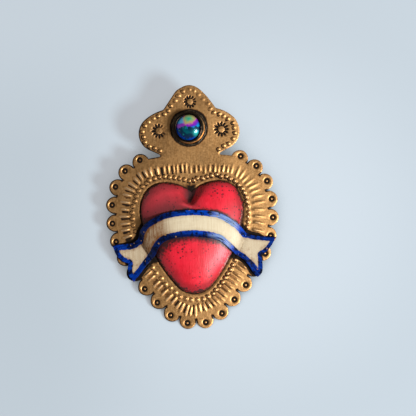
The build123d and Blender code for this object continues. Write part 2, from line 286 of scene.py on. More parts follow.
def heartTop(u, v, height):
    # the dome less its valley, with a slight unevenness, and the ridge at the valley's foot
    share = 1 - heart["valleyDepth"] * heartValley(u, v) + 0.012 * sway(u, v, 2.6)
    return plate["sheet"] + height * share + heart["ridge"] * heartRidge(u, v)


# Banner: band over the heart, a fold and a swallow tail on each side.

banner = {
    "thick": 0.4,
    "gap": 0.06,
    "ribRise": 0.45,
    "landing": 1.7,
    "landingEase": 0.25,
    "drapeGap": 0.12,
    "tipLift": 0.2,
    "sway": 0.03,
    "left": {
        "upper": [(0, 34.55), (-4.1, 34.4), (-8.7, 33.6), (-11.6, 32.3), (-14.1, 30.5), (-15.2, 28.8),
                  (-15.8, 26.7)],
        "lower": [(0, 26.85), (-3.0, 26.85), (-6.2, 26.35), (-8.6, 25.45), (-10.0, 23.9), (-10.9, 22.1),
                  (-12.1, 20.7)],
        "tailUpper": [(-15.8, 26.7), (-17.0, 25.9), (-19.0, 25.5), (-21.4, 25.4), (-23.1, 25.0)],
        "tailLower": [(-12.1, 20.7), (-13.6, 19.1), (-15.8, 16.4), (-17.5, 14.4)],
        "end": [(-17.5, 14.4), (-18.8, 16.2), (-19.1, 18.3), (-18.8, 19.8), (-20.6, 20.6), (-22.3, 22.5),
                (-23.1, 25.0)],
        "widths": (1.65, 1.75, 1.75, 1.6, 1.3)},
    "right": {
        "upper": [(0, 34.55), (5.1, 34.0), (8.0, 33.3), (10.8, 31.75), (13.5, 29.5), (15.1, 27.4)],
        "lower": [(0, 26.85), (4.8, 26.15), (7.7, 25.2), (10.1, 23.2), (11.9, 21.3)],
        "tailUpper": [(15.1, 27.4), (16.6, 26.75), (19.5, 26.2), (23.6, 25.7)],
        "tailLower": [(11.9, 21.3), (14.1, 19.75), (15.7, 17.8), (17.0, 15.6), (18.1, 14.5)],
        "end": [(18.1, 14.5), (19.3, 15.7), (19.6, 17.7), (19.25, 20.9), (20.6, 21.6), (22.4, 23.5),
                (23.6, 25.7)],
        "widths": (1.6, 1.9, 1.2, 1.45, 1.05)},
    "thin": 0.28,
    "tipFuller": 0.55,
    "notch": 3,
    "bandRows": 110,
    "tailRows": 34,
    "across": 40,
}


def endCurve(side, part):
    # the swallow-cut end in two smooth halves that meet in its notch
    ends, notch = side["end"], banner["notch"]
    lower = through(ends[:notch + 1], np.clip(part * 2, 0, 1))
    upper = through(ends[notch:], np.clip(part * 2 - 1, 0, 1))
    return np.where((part < 0.5)[..., None], lower, upper)


def tailPoint(side, part, across):
    # four edges blended: the two long edges, the fold and the cut end, less the corners counted twice
    p, a = part[..., None], across[..., None]
    lower, upper = through(side["tailLower"], part), through(side["tailUpper"], part)
    foot, top = np.array(side["tailLower"][0]), np.array(side["tailUpper"][0])
    fold = foot + a * (top - foot)
    corners = (1 - p) * fold + p * ((1 - a) * np.array(side["end"][0]) + a * np.array(side["end"][-1]))
    return (1 - a) * lower + a * upper + (1 - p) * fold + p * endCurve(side, across) - corners


def bannerPlace(row, across):
    # rows from 0 at the left end, over both folds, to 1 at the right end
    tailShare = banner["tailRows"] / (banner["bandRows"] + 2 * banner["tailRows"])
    inBand = np.clip((row - tailShare) / (1 - 2 * tailShare), 0, 1) * 2 - 1
    inTail = np.maximum(np.clip(1 - row / tailShare, 0, 1), np.clip((row - 1 + tailShare) / tailShare, 0, 1))
    halves = []
    for side, sign in ((banner["left"], -1), (banner["right"], 1)):
        part = np.clip(sign * inBand, 0, 1)
        lower, upper = through(side["lower"], part), through(side["upper"], part)
        band = lower + across[..., None] * (upper - lower)
        halves.append(np.where((inTail > 0)[..., None], tailPoint(side, inTail, across), band))
    return np.where((row < 0.5)[..., None], halves[0], halves[1])


def borderShare(points):
    # how far in from the edges each point lies, in widths of the painted border: 1 where the border ends
    # the brush ran dry toward the right fold, and was fuller about the right tail's foot
    steps = np.linspace(0, 1, 160)
    thin = 1 - banner["thin"] * smooth(6.0, 11.5, points[:, 0])
    shares = []
    for side in (banner["left"], banner["right"]):
        edges = [through(side[k], steps) for k in ("upper", "lower", "tailUpper", "tailLower")]
        edges.append(endCurve(side, steps))
        widths = [width * (thin if k == 1 else 1) for k, width in enumerate(side["widths"])]
        shares += [nearest(points, edge) / width for edge, width in zip(edges, widths)]
    toTip = np.hypot(*(points - banner["right"]["end"][0]).T)
    return np.minimum.reduce(shares) / (1 + banner["tipFuller"] * bump(toTip / 6.0))


def bannerHeight(u, v):
    # the middle of the sheet: the taller of a drape over the heart and the level of the ribs, eased together
    seat = plate["sheet"] + banner["gap"] + banner["thick"] / 2
    low = seat + banner["ribRise"]
    drape = seat + domeHeight(u, v, banner["landing"], heart["rise"] + banner["drapeGap"])
    mean, half = (drape + low) / 2, (drape - low) / 2
    fall = plateFall(u.ravel(), v.ravel()).reshape(u.shape) * smooth(13.0, 17.0, abs(u))
    tips = banner["tipLift"] * smooth(19.0, 23.5, abs(u)) + banner["sway"] * sway(u, v, 2.0)
    return mean + np.hypot(half, banner["landingEase"]) + tips - fall


bannerRows = np.linspace(0, 1, banner["bandRows"] + 2 * banner["tailRows"] + 1)
endSteps = np.linspace(0, 1, banner["across"])
bannerLine = np.vstack([
    bannerPlace(bannerRows, np.zeros_like(bannerRows)), bannerPlace(np.ones_like(endSteps), endSteps),
    bannerPlace(bannerRows, np.ones_like(bannerRows)), bannerPlace(np.zeros_like(endSteps), endSteps)])
print("curves: outline", len(outline), "pitch", round(pitch, 3), "apex", round(apexHeight, 2))

# Ornament: where the ribs, beads, rings and rosettes stand.

ornament = {
    "ringCentre": 0.3, "ringOuter": 0.88, "ringDepth": 0.22,
    "ribRise": 0.44, "ribHeartGap": 2.6,
    "rightRibs": {"first": 0.8, "width": ([0, 6, 9, 62, 65, 77], [0.22, 0.22, 0.27, 0.27, 0.22, 0.22]),
                  "spacing": ([0, 6.3, 8, 16, 23, 36, 50, 62, 64.5, 77],
                              [2.3, 2.3, 1.5, 1.45, 1.4, 2.4, 2.1, 2.5, 1.45, 1.4]),
                  "start": ([0, 7, 9, 20, 47, 50, 62, 65, 77], [3.0, 3.0, 2.2, 2.1, 2.2, 2.8, 2.9, 3.2, 3.2]),
                  "end": ([0, 8, 22, 48, 52, 62, 65, 77], [5.1, 5.1, 5.1, 5.0, 5.6, 5.6, 5.3, 5.6]),
                  "dark": ([0, 6, 9, 22, 36, 40, 61, 65, 77],
                           [1.5, 1.25, 0.75, 0.55, 0.45, 0.35, 0.45, 0.7, 0.75]),
                  "strength": ([0, 22, 40, 50, 62, 66, 77], [0.78, 0.82, 0.62, 0.34, 0.24, 0.38, 0.34])},
    "leftRibs": {"first": 0.15, "width": ([0, 77], [0.21, 0.21]),
                 "spacing": ([0, 10, 23, 40, 54, 66, 69, 77], [2.0, 1.95, 1.8, 2.3, 2.5, 2.3, 1.35, 1.3]),
                 "start": ([0, 22, 40, 54, 66, 77], [2.4, 2.3, 2.4, 2.8, 3.1, 3.3]),
                 "end": ([0, 22, 40, 54, 66, 77], [4.9, 4.8, 4.9, 5.2, 5.4, 5.8]),
                 "dark": ([0, 10, 23, 38, 60, 77], [1.5, 1.2, 1.0, 1.1, 1.1, 1.0]),
                 "strength": ([0, 22, 40, 62, 68, 77], [0.85, 0.95, 1.0, 0.9, 0.4, 0.32])},
    "beadGrow": ([-1, -0.8, -0.65, -0.55, -0.4, -0.25, -0.12, 0.2, 0.5, 0.6, 0.76, 0.86, 1],
                 [1.8, 1.8, 2.0, 2.5, 2.8, 2.4, 1.85, 1.85, 1.7, 1.35, 1.35, 1.75, 1.8]),
    "beadDark": ([-1, -0.9, -0.6, -0.3, 0, 0.15, 0.25, 0.5, 0.55, 0.7, 0.85, 1],
                 [1.1, 1.1, 1.05, 0.9, 0.65, 1.2, 1.35, 0.9, 0.8, 1.2, 1.45, 1.3]),
    "beadPitch": ([-60, -40, -24, -8, 0, 8, 30, 46, 60], [1.4, 1.5, 1.95, 1.95, 1.7, 1.45, 1.45, 1.4, 1.4]),
    "beadRadius": 0.55, "beadRise": 0.4,
    "crownInset": 1.2, "crownPitch": 1.66, "crownBeadRadius": 0.47, "crownBeadRise": 0.25,
    # the rib side below and the bead shift further down place painted shade on the lower left
    "cupAboveNeck": 7.45, "lipRise": 0.07, "waxSide": (-0.8, -0.6),
    "rosettes": [(-8.6, 57.5), (9.3, 57.3), (0.2, 65.55)], "rosetteSizes": [1.0, 1.0, 0.88],
    "petals": 12, "petalFrom": 1.1, "petalTo": 1.7, "petalHalf": 0.42, "petalDepth": 0.14,
    "petalFade": (0.8, 0.3, 0.6), "bossRadius": 0.95, "bossRise": 0.04, "wipe": (-0.2, -0.1),
    "beadStrength": ([-1, -0.85, -0.6, -0.2, -0.1, 1], [0.55, 0.55, 0.5, 0.55, 0.95, 0.95]),
}


ringMarks = onRing((np.arange(plate["scallops"]) + 0.5) * pitch, 0.0)
ringMarks = np.vstack([ringMarks, ringMarks * [-1, 1]])
ringFill = chance.uniform(0.05, 0.35, len(ringMarks)) + 0.22 * (ringMarks[:, 0] < -8)


def ribRow(side, sign):
    # ribs stand square to the ring line at the chaser's own spacing, and stop short of the bead row
    def at(key):
        return np.interp(along, *side[key])

    fine = np.linspace(0, ringLengths[-1], 1500)
    count = np.cumsum(np.gradient(fine) / np.interp(fine, *side["spacing"]))
    along = np.interp(np.arange(side["first"], count[-1]), count, fine)
    many = len(along)
    half = np.clip(at("width") * at("spacing"), 0.3, 0.6)
    dark = at("dark") * chance.uniform(0.6, 1.25, many)
    strength = at("strength") * chance.uniform(0.7, 1.15, many)
    along = along + chance.normal(0, 0.1, many)
    start = at("start") + chance.normal(0, 0.18, many)
    end = at("end") + chance.normal(0, 0.22, many)
    share = np.linspace(0, 1, 31)
    path = onRing(sign * along[:, None], -start[:, None] - share * (end - start)[:, None])
    clear = nearest(path.reshape(-1, 2), heartLine(0, 500)).reshape(path.shape[:2]) > ornament["ribHeartGap"]
    length = np.maximum(share[clear.sum(1).clip(1) - 1] * (end - start), 0.9)
    skew = chance.normal(0, 0.12, many)
    return np.hstack([onRing(sign * along, -start), onRing(sign * (along + skew), -start - length),
                      half[:, None], dark[:, None], strength[:, None]])


ribTable = np.vstack([ribRow(ornament["rightRibs"], 1), ribRow(ornament["leftRibs"], -1)])
ribOuter, ribInner = ribTable[:, :2], ribTable[:, 2:4]
ribHalf, ribDark, ribStrength = ribTable[:, 4:].T
# the bead row strays from the heart here and there
beadGrow = np.interp(np.linspace(-1, 1, 1200, endpoint=False), *ornament["beadGrow"])[:, None]
beadLine = heartLine(1.0, 1200) + (beadGrow - 1) / 2 * (heartLine(3.0, 1200) - heartLine(1.0, 1200))
beadLine[:, 1] += 0.8 * bump(beadLine[:, 0] / 3.2) * (beadLine[:, 1] > 36)
beadRun = runOf(beadLine)
beadCount = np.cumsum(np.gradient(beadRun) / np.interp(beadRun - beadRun[-1] / 2, *ornament["beadPitch"]))
beadSteps = np.interp(np.arange(0.4, beadCount[-1]), beadCount, beadRun)
beads = alongLine(beadSteps, beadRun, beadLine)
beadShare = beadSteps / beadRun[-1] * 2 - 1
beadDark = np.interp(beadShare, *ornament["beadDark"])
beads += chance.normal(0, 0.1, beads.shape)
beadStrength = chance.uniform(0.7, 1.05, len(beads)) * np.interp(beadShare, *ornament["beadStrength"])
crownPoints, _, crownLengths = crownLine(ornament["crownInset"])
crownSteps = np.arange(0, crownLengths[-1] + 0.6, ornament["crownPitch"])
crownBeads = alongLine(crownSteps, crownLengths, crownPoints)
crownBeads = np.vstack([crownBeads, crownBeads[1:] * [-1, 1]])
crownBeads += chance.normal(0, 0.1, crownBeads.shape)
crownFull = 1 - smooth(61.5, 63.5, crownBeads[:, 1]) * smooth(-2.5, -0.5, crownBeads[:, 0])
crownDark = chance.uniform(0.7, 1.3, len(crownBeads)) * (
    0.5 + 0.55 * crownFull + 0.3 * smooth(4, 8, crownBeads[:, 0]))
crownStrength = chance.uniform(0.65, 1.1, len(crownBeads)) * (0.45 + 0.5 * crownFull)
rosettes = np.array(ornament["rosettes"])
cupMiddle = np.array([0.0, neckHeight + ornament["cupAboveNeck"]])


def ribHeights(points):
    # the punch leaned left: a rib on the right is full at its inner end, one on the left at its outer end;
    # wax lies beside each, and painted shade most on its lower left
    line = ribInner - ribOuter
    part = ((points[:, None] - ribOuter) * line).sum(-1) / (line ** 2).sum(-1)
    foot = ribOuter + np.clip(part, 0, 1)[..., None] * line
    away = np.sqrt(((points[:, None] - foot) ** 2).sum(-1))
    fromRight = smooth(-0.1, 0.75, part)
    fromLeft = smooth(-0.2, 0.25, part) * (1 - np.clip((part - 0.45) / 0.75, 0, 1))
    grown = np.where(ribOuter[:, 0] > 0, fromRight, fromLeft)
    height = (bump(away / (ribHalf * (0.75 + 0.25 * grown))) * (0.15 + 0.85 * grown) * ribStrength).max(1)
    which = away.argmin(1)[:, None]
    away, part = np.take_along_axis(away, which, 1)[:, 0], np.take_along_axis(part, which, 1)[:, 0]
    half, dark = ribHalf[which[:, 0]], ribDark[which[:, 0]]
    aside = np.take_along_axis(points[:, None] - foot, which[..., None], 1)[:, 0] @ ornament["waxSide"]
    shaded = 0.35 + 0.65 * smooth(-0.2, 0.6, aside / (away + 1e-6))
    flats = smooth(0.6, 1.0, away / half) * smooth(1.8, 0.8, away)
    flats = flats * smooth(-0.05, 0.3, part) * smooth(1.3, 1.05, part)
    return height, dark * flats * shaded


def beadHeights(points, middles, radius, strength, dark):
    # round beads, and the dark about each: wax, with painted shade heavier on its lower left
    away = distances(points, middles) / radius
    dome = (np.clip(1 - away ** 2, 0, None) ** 0.8 * strength).max(1)
    wiped = distances(points, middles + ornament["wipe"]) / radius
    return dome, (bump((wiped - 1.0) / 0.5) * dark).max(1)


def ringGrooves(points):
    # the ring punched in each scallop, and the wax left in its eye
    away = distances(points, ringMarks)
    filled = ringFill[away.argmin(1)]
    away = away.min(1)
    inner, outer = ornament["ringCentre"], ornament["ringOuter"]
    groove = smooth(inner - 0.1, inner + 0.1, away) * smooth(outer + 0.08, outer - 0.1, away)
    return groove, filled * (away < 0.35)


def rosetteMarks(points):
    # petals about a low boss, shallower and paler toward the right
    offset = (points[:, None] - rosettes) / np.array(ornament["rosetteSizes"])[:, None]
    away = np.sqrt((offset ** 2).sum(-1))
    which = away.argmin(1)
    away = away.min(1)
    du, dv = np.take_along_axis(offset, which[:, None, None], 1)[:, 0].T
    petalTurn = 2 * math.pi / ornament["petals"]
    turn = np.arctan2(dv, du) / petalTurn
    side = abs(turn - np.round(turn)) * petalTurn * away
    first, last = ornament["petalFrom"], ornament["petalTo"]
    end = np.clip(abs(away - (first + last) / 2) - (last - first) / 2, 0, None)
    facing = np.cos(np.round(turn) * petalTurn - 0.25)
    struck = 1 - np.array(ornament["petalFade"])[which] * smooth(-0.1, 1.0, facing)
    half = ornament["petalHalf"] * (0.3 + 0.42 * away)
    return smooth(half, half * 0.6, np.hypot(side, end)) * struck, bump(away / ornament["bossRadius"])


def plateRelief(points):
    # height of the chased work over the sheet, how dark with wax and painted shade each point lies, and how
    # light its crests are with wear and painted highlight
    u, v = points.T
    blocks = np.array_split(points, 16)
    ribs, besideRib = np.hstack([ribHeights(b) for b in blocks])
    bead, besideBead = np.hstack([
        beadHeights(b, beads, ornament["beadRadius"], beadStrength, beadDark) for b in blocks])
    crownBead, besideCrown = np.hstack([
        beadHeights(b, crownBeads, ornament["crownBeadRadius"], crownStrength, crownDark) for b in blocks])
    groove, eye = ringGrooves(points)
    petal, boss = rosetteMarks(points)
    toHeart = nearest(points, heartLine(0, 700))
    lip = bump((toHeart - 0.7) / 0.35)
    height = (ornament["ribRise"] * ribs + ornament["beadRise"] * bead + ornament["crownBeadRise"] * crownBead
              - ornament["ringDepth"] * groove - ornament["petalDepth"] * petal + ornament["bossRise"] * boss
              + ornament["lipRise"] * lip)
    slits = np.arange(-plate["scallops"] + 1, plate["scallops"]) * pitch
    slits = np.vstack([onRing(slits, -plate["slitDepth"] + step) for step in (-0.15, 0.15, 0.4)])
    toEdge, toBanner, onLeft = nearest(points, outline), nearest(points, bannerLine), smooth(2, -12, u)
    # painted shade: the edges and the heart's upper left are darker toward the left, away from the lamp, and
    # the corner under the banner is darkened
    atEdge = (0.45 + 0.2 * onLeft) * smooth(0.75, 0.05, toEdge) + 0.2 * onLeft * smooth(0.45, 0.1, toEdge)
    inSlit = 1.3 * smooth(0.6, 0.25, nearest(points, slits))
    atHeart = (0.8 + 0.35 * smooth(4, -8, u) * smooth(39, 35, v)) * smooth(0.6, 0.15, toHeart)
    nearHeart = 0.45 * smooth(1.6, 0.7, toHeart)
    inCleft = 1.2 * bump(u / 2.4) * smooth(2.2, 0.7, toHeart) * (v > 36)
    atBanner = 1.3 * smooth(1.45, 0.45, toBanner + 0.8 * smooth(18.5, 20.5, abs(u)))
    inCorner = (1.0 + 0.3 * onLeft) * smooth(2.6, 1.2, np.hypot(toBanner, toHeart)) * (v < 27)
    atCup = smooth(0.95, 0.15, np.hypot(*(points - cupMiddle).T) - 5.0)
    dirt = np.maximum.reduce([
        besideRib * (1 - ribs), besideBead * (1 - np.clip(1.5 * bead, 0, 1)),
        besideCrown * (1 - np.clip(1.5 * crownBead, 0, 1)), 1.3 * groove, 2.2 * petal, eye,
        atEdge, inSlit, atHeart, nearHeart, inCleft, atBanner, inCorner, atCup])
    # crests painted lighter, as wear and as painted highlight: more on the ribs and less on the beads toward
    # the left
    crest = np.maximum.reduce([ribs * (1 + 0.6 * onLeft), (0.8 - 0.3 * onLeft) * bead, 0.5 * crownBead])
    return height, np.clip(dirt, 0, 1.2), crest


def plateFall(u, v):
    # the sheet is not quite flat: the rim falls back from the heart, and the crown bends back to both sides
    rim = np.clip(nearest(np.stack([u, v], 1), heartLine(0, 500)) - 1.0, 0, 12) * (inHeart(u, v, 0) > 1)
    onNeck = smooth(40, 48, v) * smooth(17, 9, abs(u))
    onCrown = smooth(neckHeight - 4, neckHeight + 4, v)
    return (1 - onNeck) * (1 - onCrown) * plate["rimFall"] * rim + onCrown * u * u / plate["crownBend"]


def crownLean(u, v):
    # the crown was cut by eye, fuller to the right of its apex
    return smooth(58.5, 65.0, v) * (-0.2 + 0.6 * smooth(-3.6, -1.8, u) + 0.6 * smooth(2.2, 4.8, u))


def around(centres, radii, count):
    # rings of points about each centre
    turn = np.arange(count) * 2 * math.pi / count
    radii = np.array(radii)[:, None]
    spin = turn + (np.arange(len(radii)) % 2)[:, None] * math.pi / count
    rings = np.stack([radii * np.cos(spin), radii * np.sin(spin)], -1).reshape(-1, 2)
    return (centres[:, None] + rings).reshape(-1, 2)


net = {
    "ribPatch": 0.72, "merge": 0.09, "edgeGap": 0.07, "ground": (0.5, 0.433), "groundColumns": 52,
    "groundRows": 165, "cell": 0.3, "cells": (220, 300), "firstCell": (110, 10),
}


def cellOf(points):
    # the cell of a coarse grid over the plate that each point lies in
    cell = np.floor(points / net["cell"]).astype(int) + net["firstCell"]
    return tuple(cell.clip(0, np.array(net["cells"]) - 1).T)


def platePoints():
    # points where the work needs them: edges, rings, beads, ribs and rosettes, and an even ground between
    ahead = np.roll(outline, -1, 0) - np.roll(outline, 1, 0)
    inward = np.stack([-ahead[:, 1], ahead[:, 0]], 1) / np.hypot(*ahead.T)[:, None]
    rows = [outline[::2] + inward[::2] * step for step in (0.09, 0.2, 0.4)]
    along, across = np.meshgrid(np.linspace(-0.2, 1.2, 13), np.linspace(-1, 1, 9) * net["ribPatch"])
    line = (ribInner - ribOuter)[:, None]
    square = np.stack([-line[..., 1], line[..., 0]], -1) / np.hypot(line[..., 0], line[..., 1])[..., None]
    ribs = ribOuter[:, None] + line * along.ravel()[None, :, None] + square * across.ravel()[None, :, None]
    features = rows + [
        ribs.reshape(-1, 2),
        around(ringMarks, [0.02, 0.13, 0.23, 0.34, 0.5, 0.66, 0.8, 0.88, 0.97, 1.08], 20),
        around(np.vstack([beads, crownBeads]), [0.02, 0.17, 0.3, 0.41, 0.5, 0.57, 0.68], 13),
        around(rosettes, np.hstack([0.02, np.linspace(0.2, 2.1, 20)]), 96),
        around(cupMiddle[None], [4.4, 4.8, 5.2, 5.6, 6.0], 90),
    ] + [heartLine(grow, 260) for grow in (0.1, 0.4, 0.62, 0.9)]
    marks = np.vstack(features)
    marks = marks[np.unique(np.round(marks / net["merge"]).astype(int), axis=0, return_index=True)[1]]
    wide = net["groundColumns"]
    column, row = np.meshgrid(np.arange(-wide, wide + 1), np.arange(net["groundRows"]))
    ground = (np.stack([column + 0.5 * (row % 2), row], -1) * net["ground"]).reshape(-1, 2)
    taken = np.zeros(net["cells"], bool)
    taken[cellOf(marks)] = True
    inside = np.vstack([marks, ground[~taken[cellOf(ground)]]])
    return inside[nearest(inside, outline) > net["edgeGap"]]


# Meshes.

def addObject(data, name):
    # a mesh, lamp or lens as an object in the scene
    thing = bpy.data.objects.new(name, data)
    bpy.context.scene.collection.objects.link(thing)
    return thing


def makePiece(name, points, *faces, merge=True):
    # a mesh in the frame's metres, doubles merged at its seams and poles, shaded smooth but for sharp corners
    mesh = bpy.data.meshes.new(name)
    mesh.from_pydata(points.reshape(-1, 3), [], sum((part.tolist() for part in faces), []))
    if merge:
        work = bmesh.new()
        work.from_mesh(mesh)
        bmesh.ops.remove_doubles(work, verts=work.verts, dist=2e-7)
        work.to_mesh(mesh)
        work.free()
    mesh.validate()
    mesh.polygons.foreach_set("use_smooth", np.ones(len(mesh.polygons), bool))
    mesh.set_sharp_from_angle(angle=math.radians(48))
    piece = addObject(mesh, name)
    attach(piece, "charm")
    return piece


def placesOf(piece):
    flat = np.empty(len(piece.data.vertices) * 3, np.float32)
    piece.data.vertices.foreach_get("co", flat)
    return flat.reshape(-1, 3).astype(float)


def addMasks(piece, **masks):
    # values on the points, which the materials read by name
    for name, values in masks.items():
        layer = piece.data.attributes.new(name, "FLOAT", "POINT")
        layer.data.foreach_set("value", np.asarray(values, np.float32))


def gridFaces(rows, columns, wrap=False, start=0):
    # quads of a grid, with its last column joined to the first where it wraps
    index = start + np.arange(rows * columns).reshape(rows, columns)
    if wrap:
        index = np.hstack([index, index[:, :1]])
    return np.stack([index[:-1, :-1], index[:-1, 1:], index[1:, 1:], index[1:, :-1]], -1).reshape(-1, 4)


def makePlate():
    # front and back share one net of triangles, and the rim joins them
    inside = platePoints()
    loop = len(outline)
    flat = np.vstack([outline, inside]).tolist()
    ring = np.arange(loop)
    edges = np.stack([ring, (ring + 1) % loop], 1).tolist()
    filled = delaunay_2d_cdt(flat, edges, [], 1, 1e-5)
    points, triangles = np.array(filled[0]), np.array(filled[2])
    used = np.unique(triangles)
    points, triangles = points[used], np.searchsorted(used, triangles)
    a, b, c = (points[triangles[:, k]] for k in range(3))
    turnsRight = (b - a)[:, 0] * (c - a)[:, 1] - (b - a)[:, 1] * (c - a)[:, 0] < 0
    triangles[turnsRight] = triangles[turnsRight][:, ::-1]
    u, v = points.T
    height, dirt, crest = plateRelief(points)
    toEdge = nearest(points, outline)
    rounded = 1 - np.sqrt(1 - np.clip(1 - toEdge / plate["edgeRound"], 0, 1) ** 2)
    lumps = plate["sway"] * sway(u, v, 2.4) * smooth(0.3, 2.0, nearest(points, heartLine(0, 300)))
    lumps = np.where(inHeart(u, v, 0) < 1, 0, lumps) - plateFall(u, v)
    front = plate["sheet"] + height + lumps - plate["edgeRound"] * rounded
    back = 0.82 * np.clip(height, 0, None) + lumps + 0.06 * rounded
    u = u + crownLean(u, v)
    count = len(points)
    sides = np.vstack([triangles[:, [0, 1]], triangles[:, [1, 2]], triangles[:, [2, 0]]])
    keys = np.sort(sides, 1) @ [count, 1]
    _, inverse, uses = np.unique(keys, return_inverse=True, return_counts=True)
    rim = sides[uses[inverse] == 1]
    wall = np.stack([rim[:, 1], rim[:, 0], rim[:, 0] + count, rim[:, 1] + count], 1)
    places = np.vstack([toFrame(u, v, front), toFrame(u, v, back)])
    piece = makePiece("giltPlate", places, triangles, triangles[:, ::-1] + count, wall, merge=False)
    backDirt = 0.22 + 0.3 * crest + 0.3 * smooth(1.1, 0.1, toEdge)
    addMasks(piece, dirt=np.hstack([dirt, backDirt]), crest=np.hstack([crest, np.zeros(count)]),
             behind=np.repeat([0, 1], count))
    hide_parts("backplate")
    print("plate:", count * 2, "points,", len(piece.data.polygons), "faces")
    return piece


def paintHeart(piece):
    # where the red is darkened or lightened: wax along the edge, widened on the left and narrowed on the lit
    # lower right by painted shade, widened also at the foot, the right edge and by the cleft; painted shade
    # under and above the banner;
    # the valley darkened at its core and its left wall; a grey veil of painted shade on the left lobe; a
    # painted highlight on the ridge; a painted sheen on the lower right; and bare metal at the lower right
    # edge
    u, v, _ = toBench(placesOf(piece))
    here = np.stack([u, v], 1)
    edge, toBanner, ridge = nearest(here, heartLine(0, 700)), nearest(here, bannerLine), heartRidge(u, v)
    byCleft = 1.6 * smooth(-0.8, 0.3, u) * smooth(8, 3, u) * smooth(36.5, 39, v)
    atLeft = (1.6 - 0.7 * smooth(30, 35, v)) * smooth(2, -8, u)
    atFoot = 1.7 * smooth(14.5, 11, v) * smooth(7, 3.5, u)
    atRight = 1.1 * smooth(12.2, 13.8, u) * smooth(28, 31, v)
    # painted shade: the rim is narrowed on the lit lower right and widened on the left
    lighter = 1 + 0.6 * smooth(4, 10, u) * smooth(30, 26, v)
    core = abs(u - valleyLine(v)) / (0.5 + 0.27 * np.clip(v - 36, 0, 4))
    core = smooth(1.3, 0.5, core) * smooth(35.7, 36.8, v)
    smoky = 0.9 * heartValley(u, v) ** 0.75 * smooth(0.6, -0.6, u) * smooth(35.3, 36.4, v)
    sides = smooth(5, -1.5, u) + 0.4 * smooth(9.5, 13, u)
    # painted shade: the lobes darkened just above the banner
    smoke = 0.8 * smooth(7, 0.5, toBanner) * smooth(27, 28.5, v) * sides * (1 - 0.6 * ridge)
    lowRight = 0.75 * smooth(15, 19, v) * smooth(24, 21.5, v) * (u > 0) * bump((edge - 0.42) / 0.3)
    farRight = 0.4 * smooth(12.5, 13.6, u) * smooth(26, 28, v) * smooth(36, 33, v)
    farRight = farRight * bump((edge - 0.5) / 0.25)
    # painted shade widens the black under the banner's left and middle
    underLeft = 1.4 * smooth(27.5, 26, v) * smooth(1, -7, u)
    underMiddle = 0.9 * smooth(28, 26.5, v) * smooth(9, 5, u)
    addMasks(piece, edge=edge * lighter / (1 + byCleft + atLeft + atFoot + atRight),
             valley=np.maximum.reduce([core, smoky, smoke]), bare=np.maximum(lowRight, farRight),
             haze=smooth(1, -9, u) * smooth(27, 34, v), ridge=ridge,
             # painted sheen: pale pink strokes on the lower right, where the lamp's highlight falls
             thin=bump(np.hypot((u - 9.2) / 3.6, (v - 20.9) / 4.8)),
             nearBanner=toBanner * (1 + 2 * ridge) / (1 + underLeft + underMiddle))


def makeHeart():
    # outer dome by rows of shrinking outlines up to the pole, and the hollow underside in the same way
    angle = np.linspace(0, math.pi / 2, heart["rows"])
    shares = np.cos(angle) ** (2 / heart["fullness"])
    skins = []
    for grow, rise in ((0.0, heart["rise"]), (-heart["wall"], heart["rise"] - heart["wall"])):
        line = heartLine(grow, heart["columns"])
        u = shares[:, None] * line[:, 0]
        v = heartMiddle + shares[:, None] * (line[:, 1] - heartMiddle)
        w = heartTop(u, v, rise * np.sin(angle)[:, None])
        skins.append(toFrame(u, v, w).reshape(-1, 3))
    rows, columns = heart["rows"], heart["columns"]
    outer = gridFaces(rows, columns, True)
    inner = gridFaces(rows, columns, True, rows * columns)[:, ::-1]
    step = np.arange(columns)
    ahead = (step + 1) % columns
    foot = np.stack([ahead, step, step + rows * columns, ahead + rows * columns], 1)
    piece = makePiece("redHeart", np.vstack(skins), outer, inner, foot)
    paintHeart(piece)
    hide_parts("heart_shell")
    print("heart:", len(piece.data.vertices), "points")
    return piece


def makeBanner():
    # a thin closed section carried from tail to tail: top, rounded edge, underside, rounded edge
    half = banner["thick"] / 2
    across = np.hstack([0.012, np.linspace(0.03, 0.97, banner["across"]), 0.988])
    q = np.hstack([0.0, across, 1.0, 1.0, across[::-1], 0.0])
    above = np.hstack([0.45, 0.92, np.ones(banner["across"]), 0.92, 0.45])
    n = np.hstack([above, -above]) * half
    rows, loop = len(bannerRows), len(q)
    place = bannerPlace(*np.meshgrid(bannerRows, q, indexing="ij"))
    u, v = place[..., 0], place[..., 1]
    step = 0.05
    slopeU = (bannerHeight(u + step, v) - bannerHeight(u - step, v)) / (2 * step)
    slopeV = (bannerHeight(u, v + step) - bannerHeight(u, v - step)) / (2 * step)
    size = np.sqrt(1 + slopeU ** 2 + slopeV ** 2)
    points = toFrame(u - n * slopeU / size, v - n * slopeV / size, bannerHeight(u, v) + n / size)
    pairs = np.arange(loop // 2 - 1)
    cap = np.stack([pairs, pairs + 1, loop - 2 - pairs, loop - 1 - pairs], 1)
    lastCap = cap[:, ::-1] + (rows - 1) * loop
    piece = makePiece("paintedBanner", points, gridFaces(rows, loop, True), cap, lastCap, merge=False)
    flat = place.reshape(-1, 2)
    run = runOf(bannerPlace(bannerRows, np.full(rows, 0.5)))
    folds = np.vstack([np.linspace(side["tailUpper"][0], side["tailLower"][0], 30)
                       for side in (banner["left"], banner["right"])])
    addMasks(piece, border=borderShare(flat), along=np.repeat(run - run[-1] / 2, loop),
             across=np.tile(q * 8, rows), fold=nearest(flat, folds))
    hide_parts("banner")
    print("banner:", len(piece.data.vertices), "points")
    return piece


# Stone, cup and solder: turned forms on the crown.

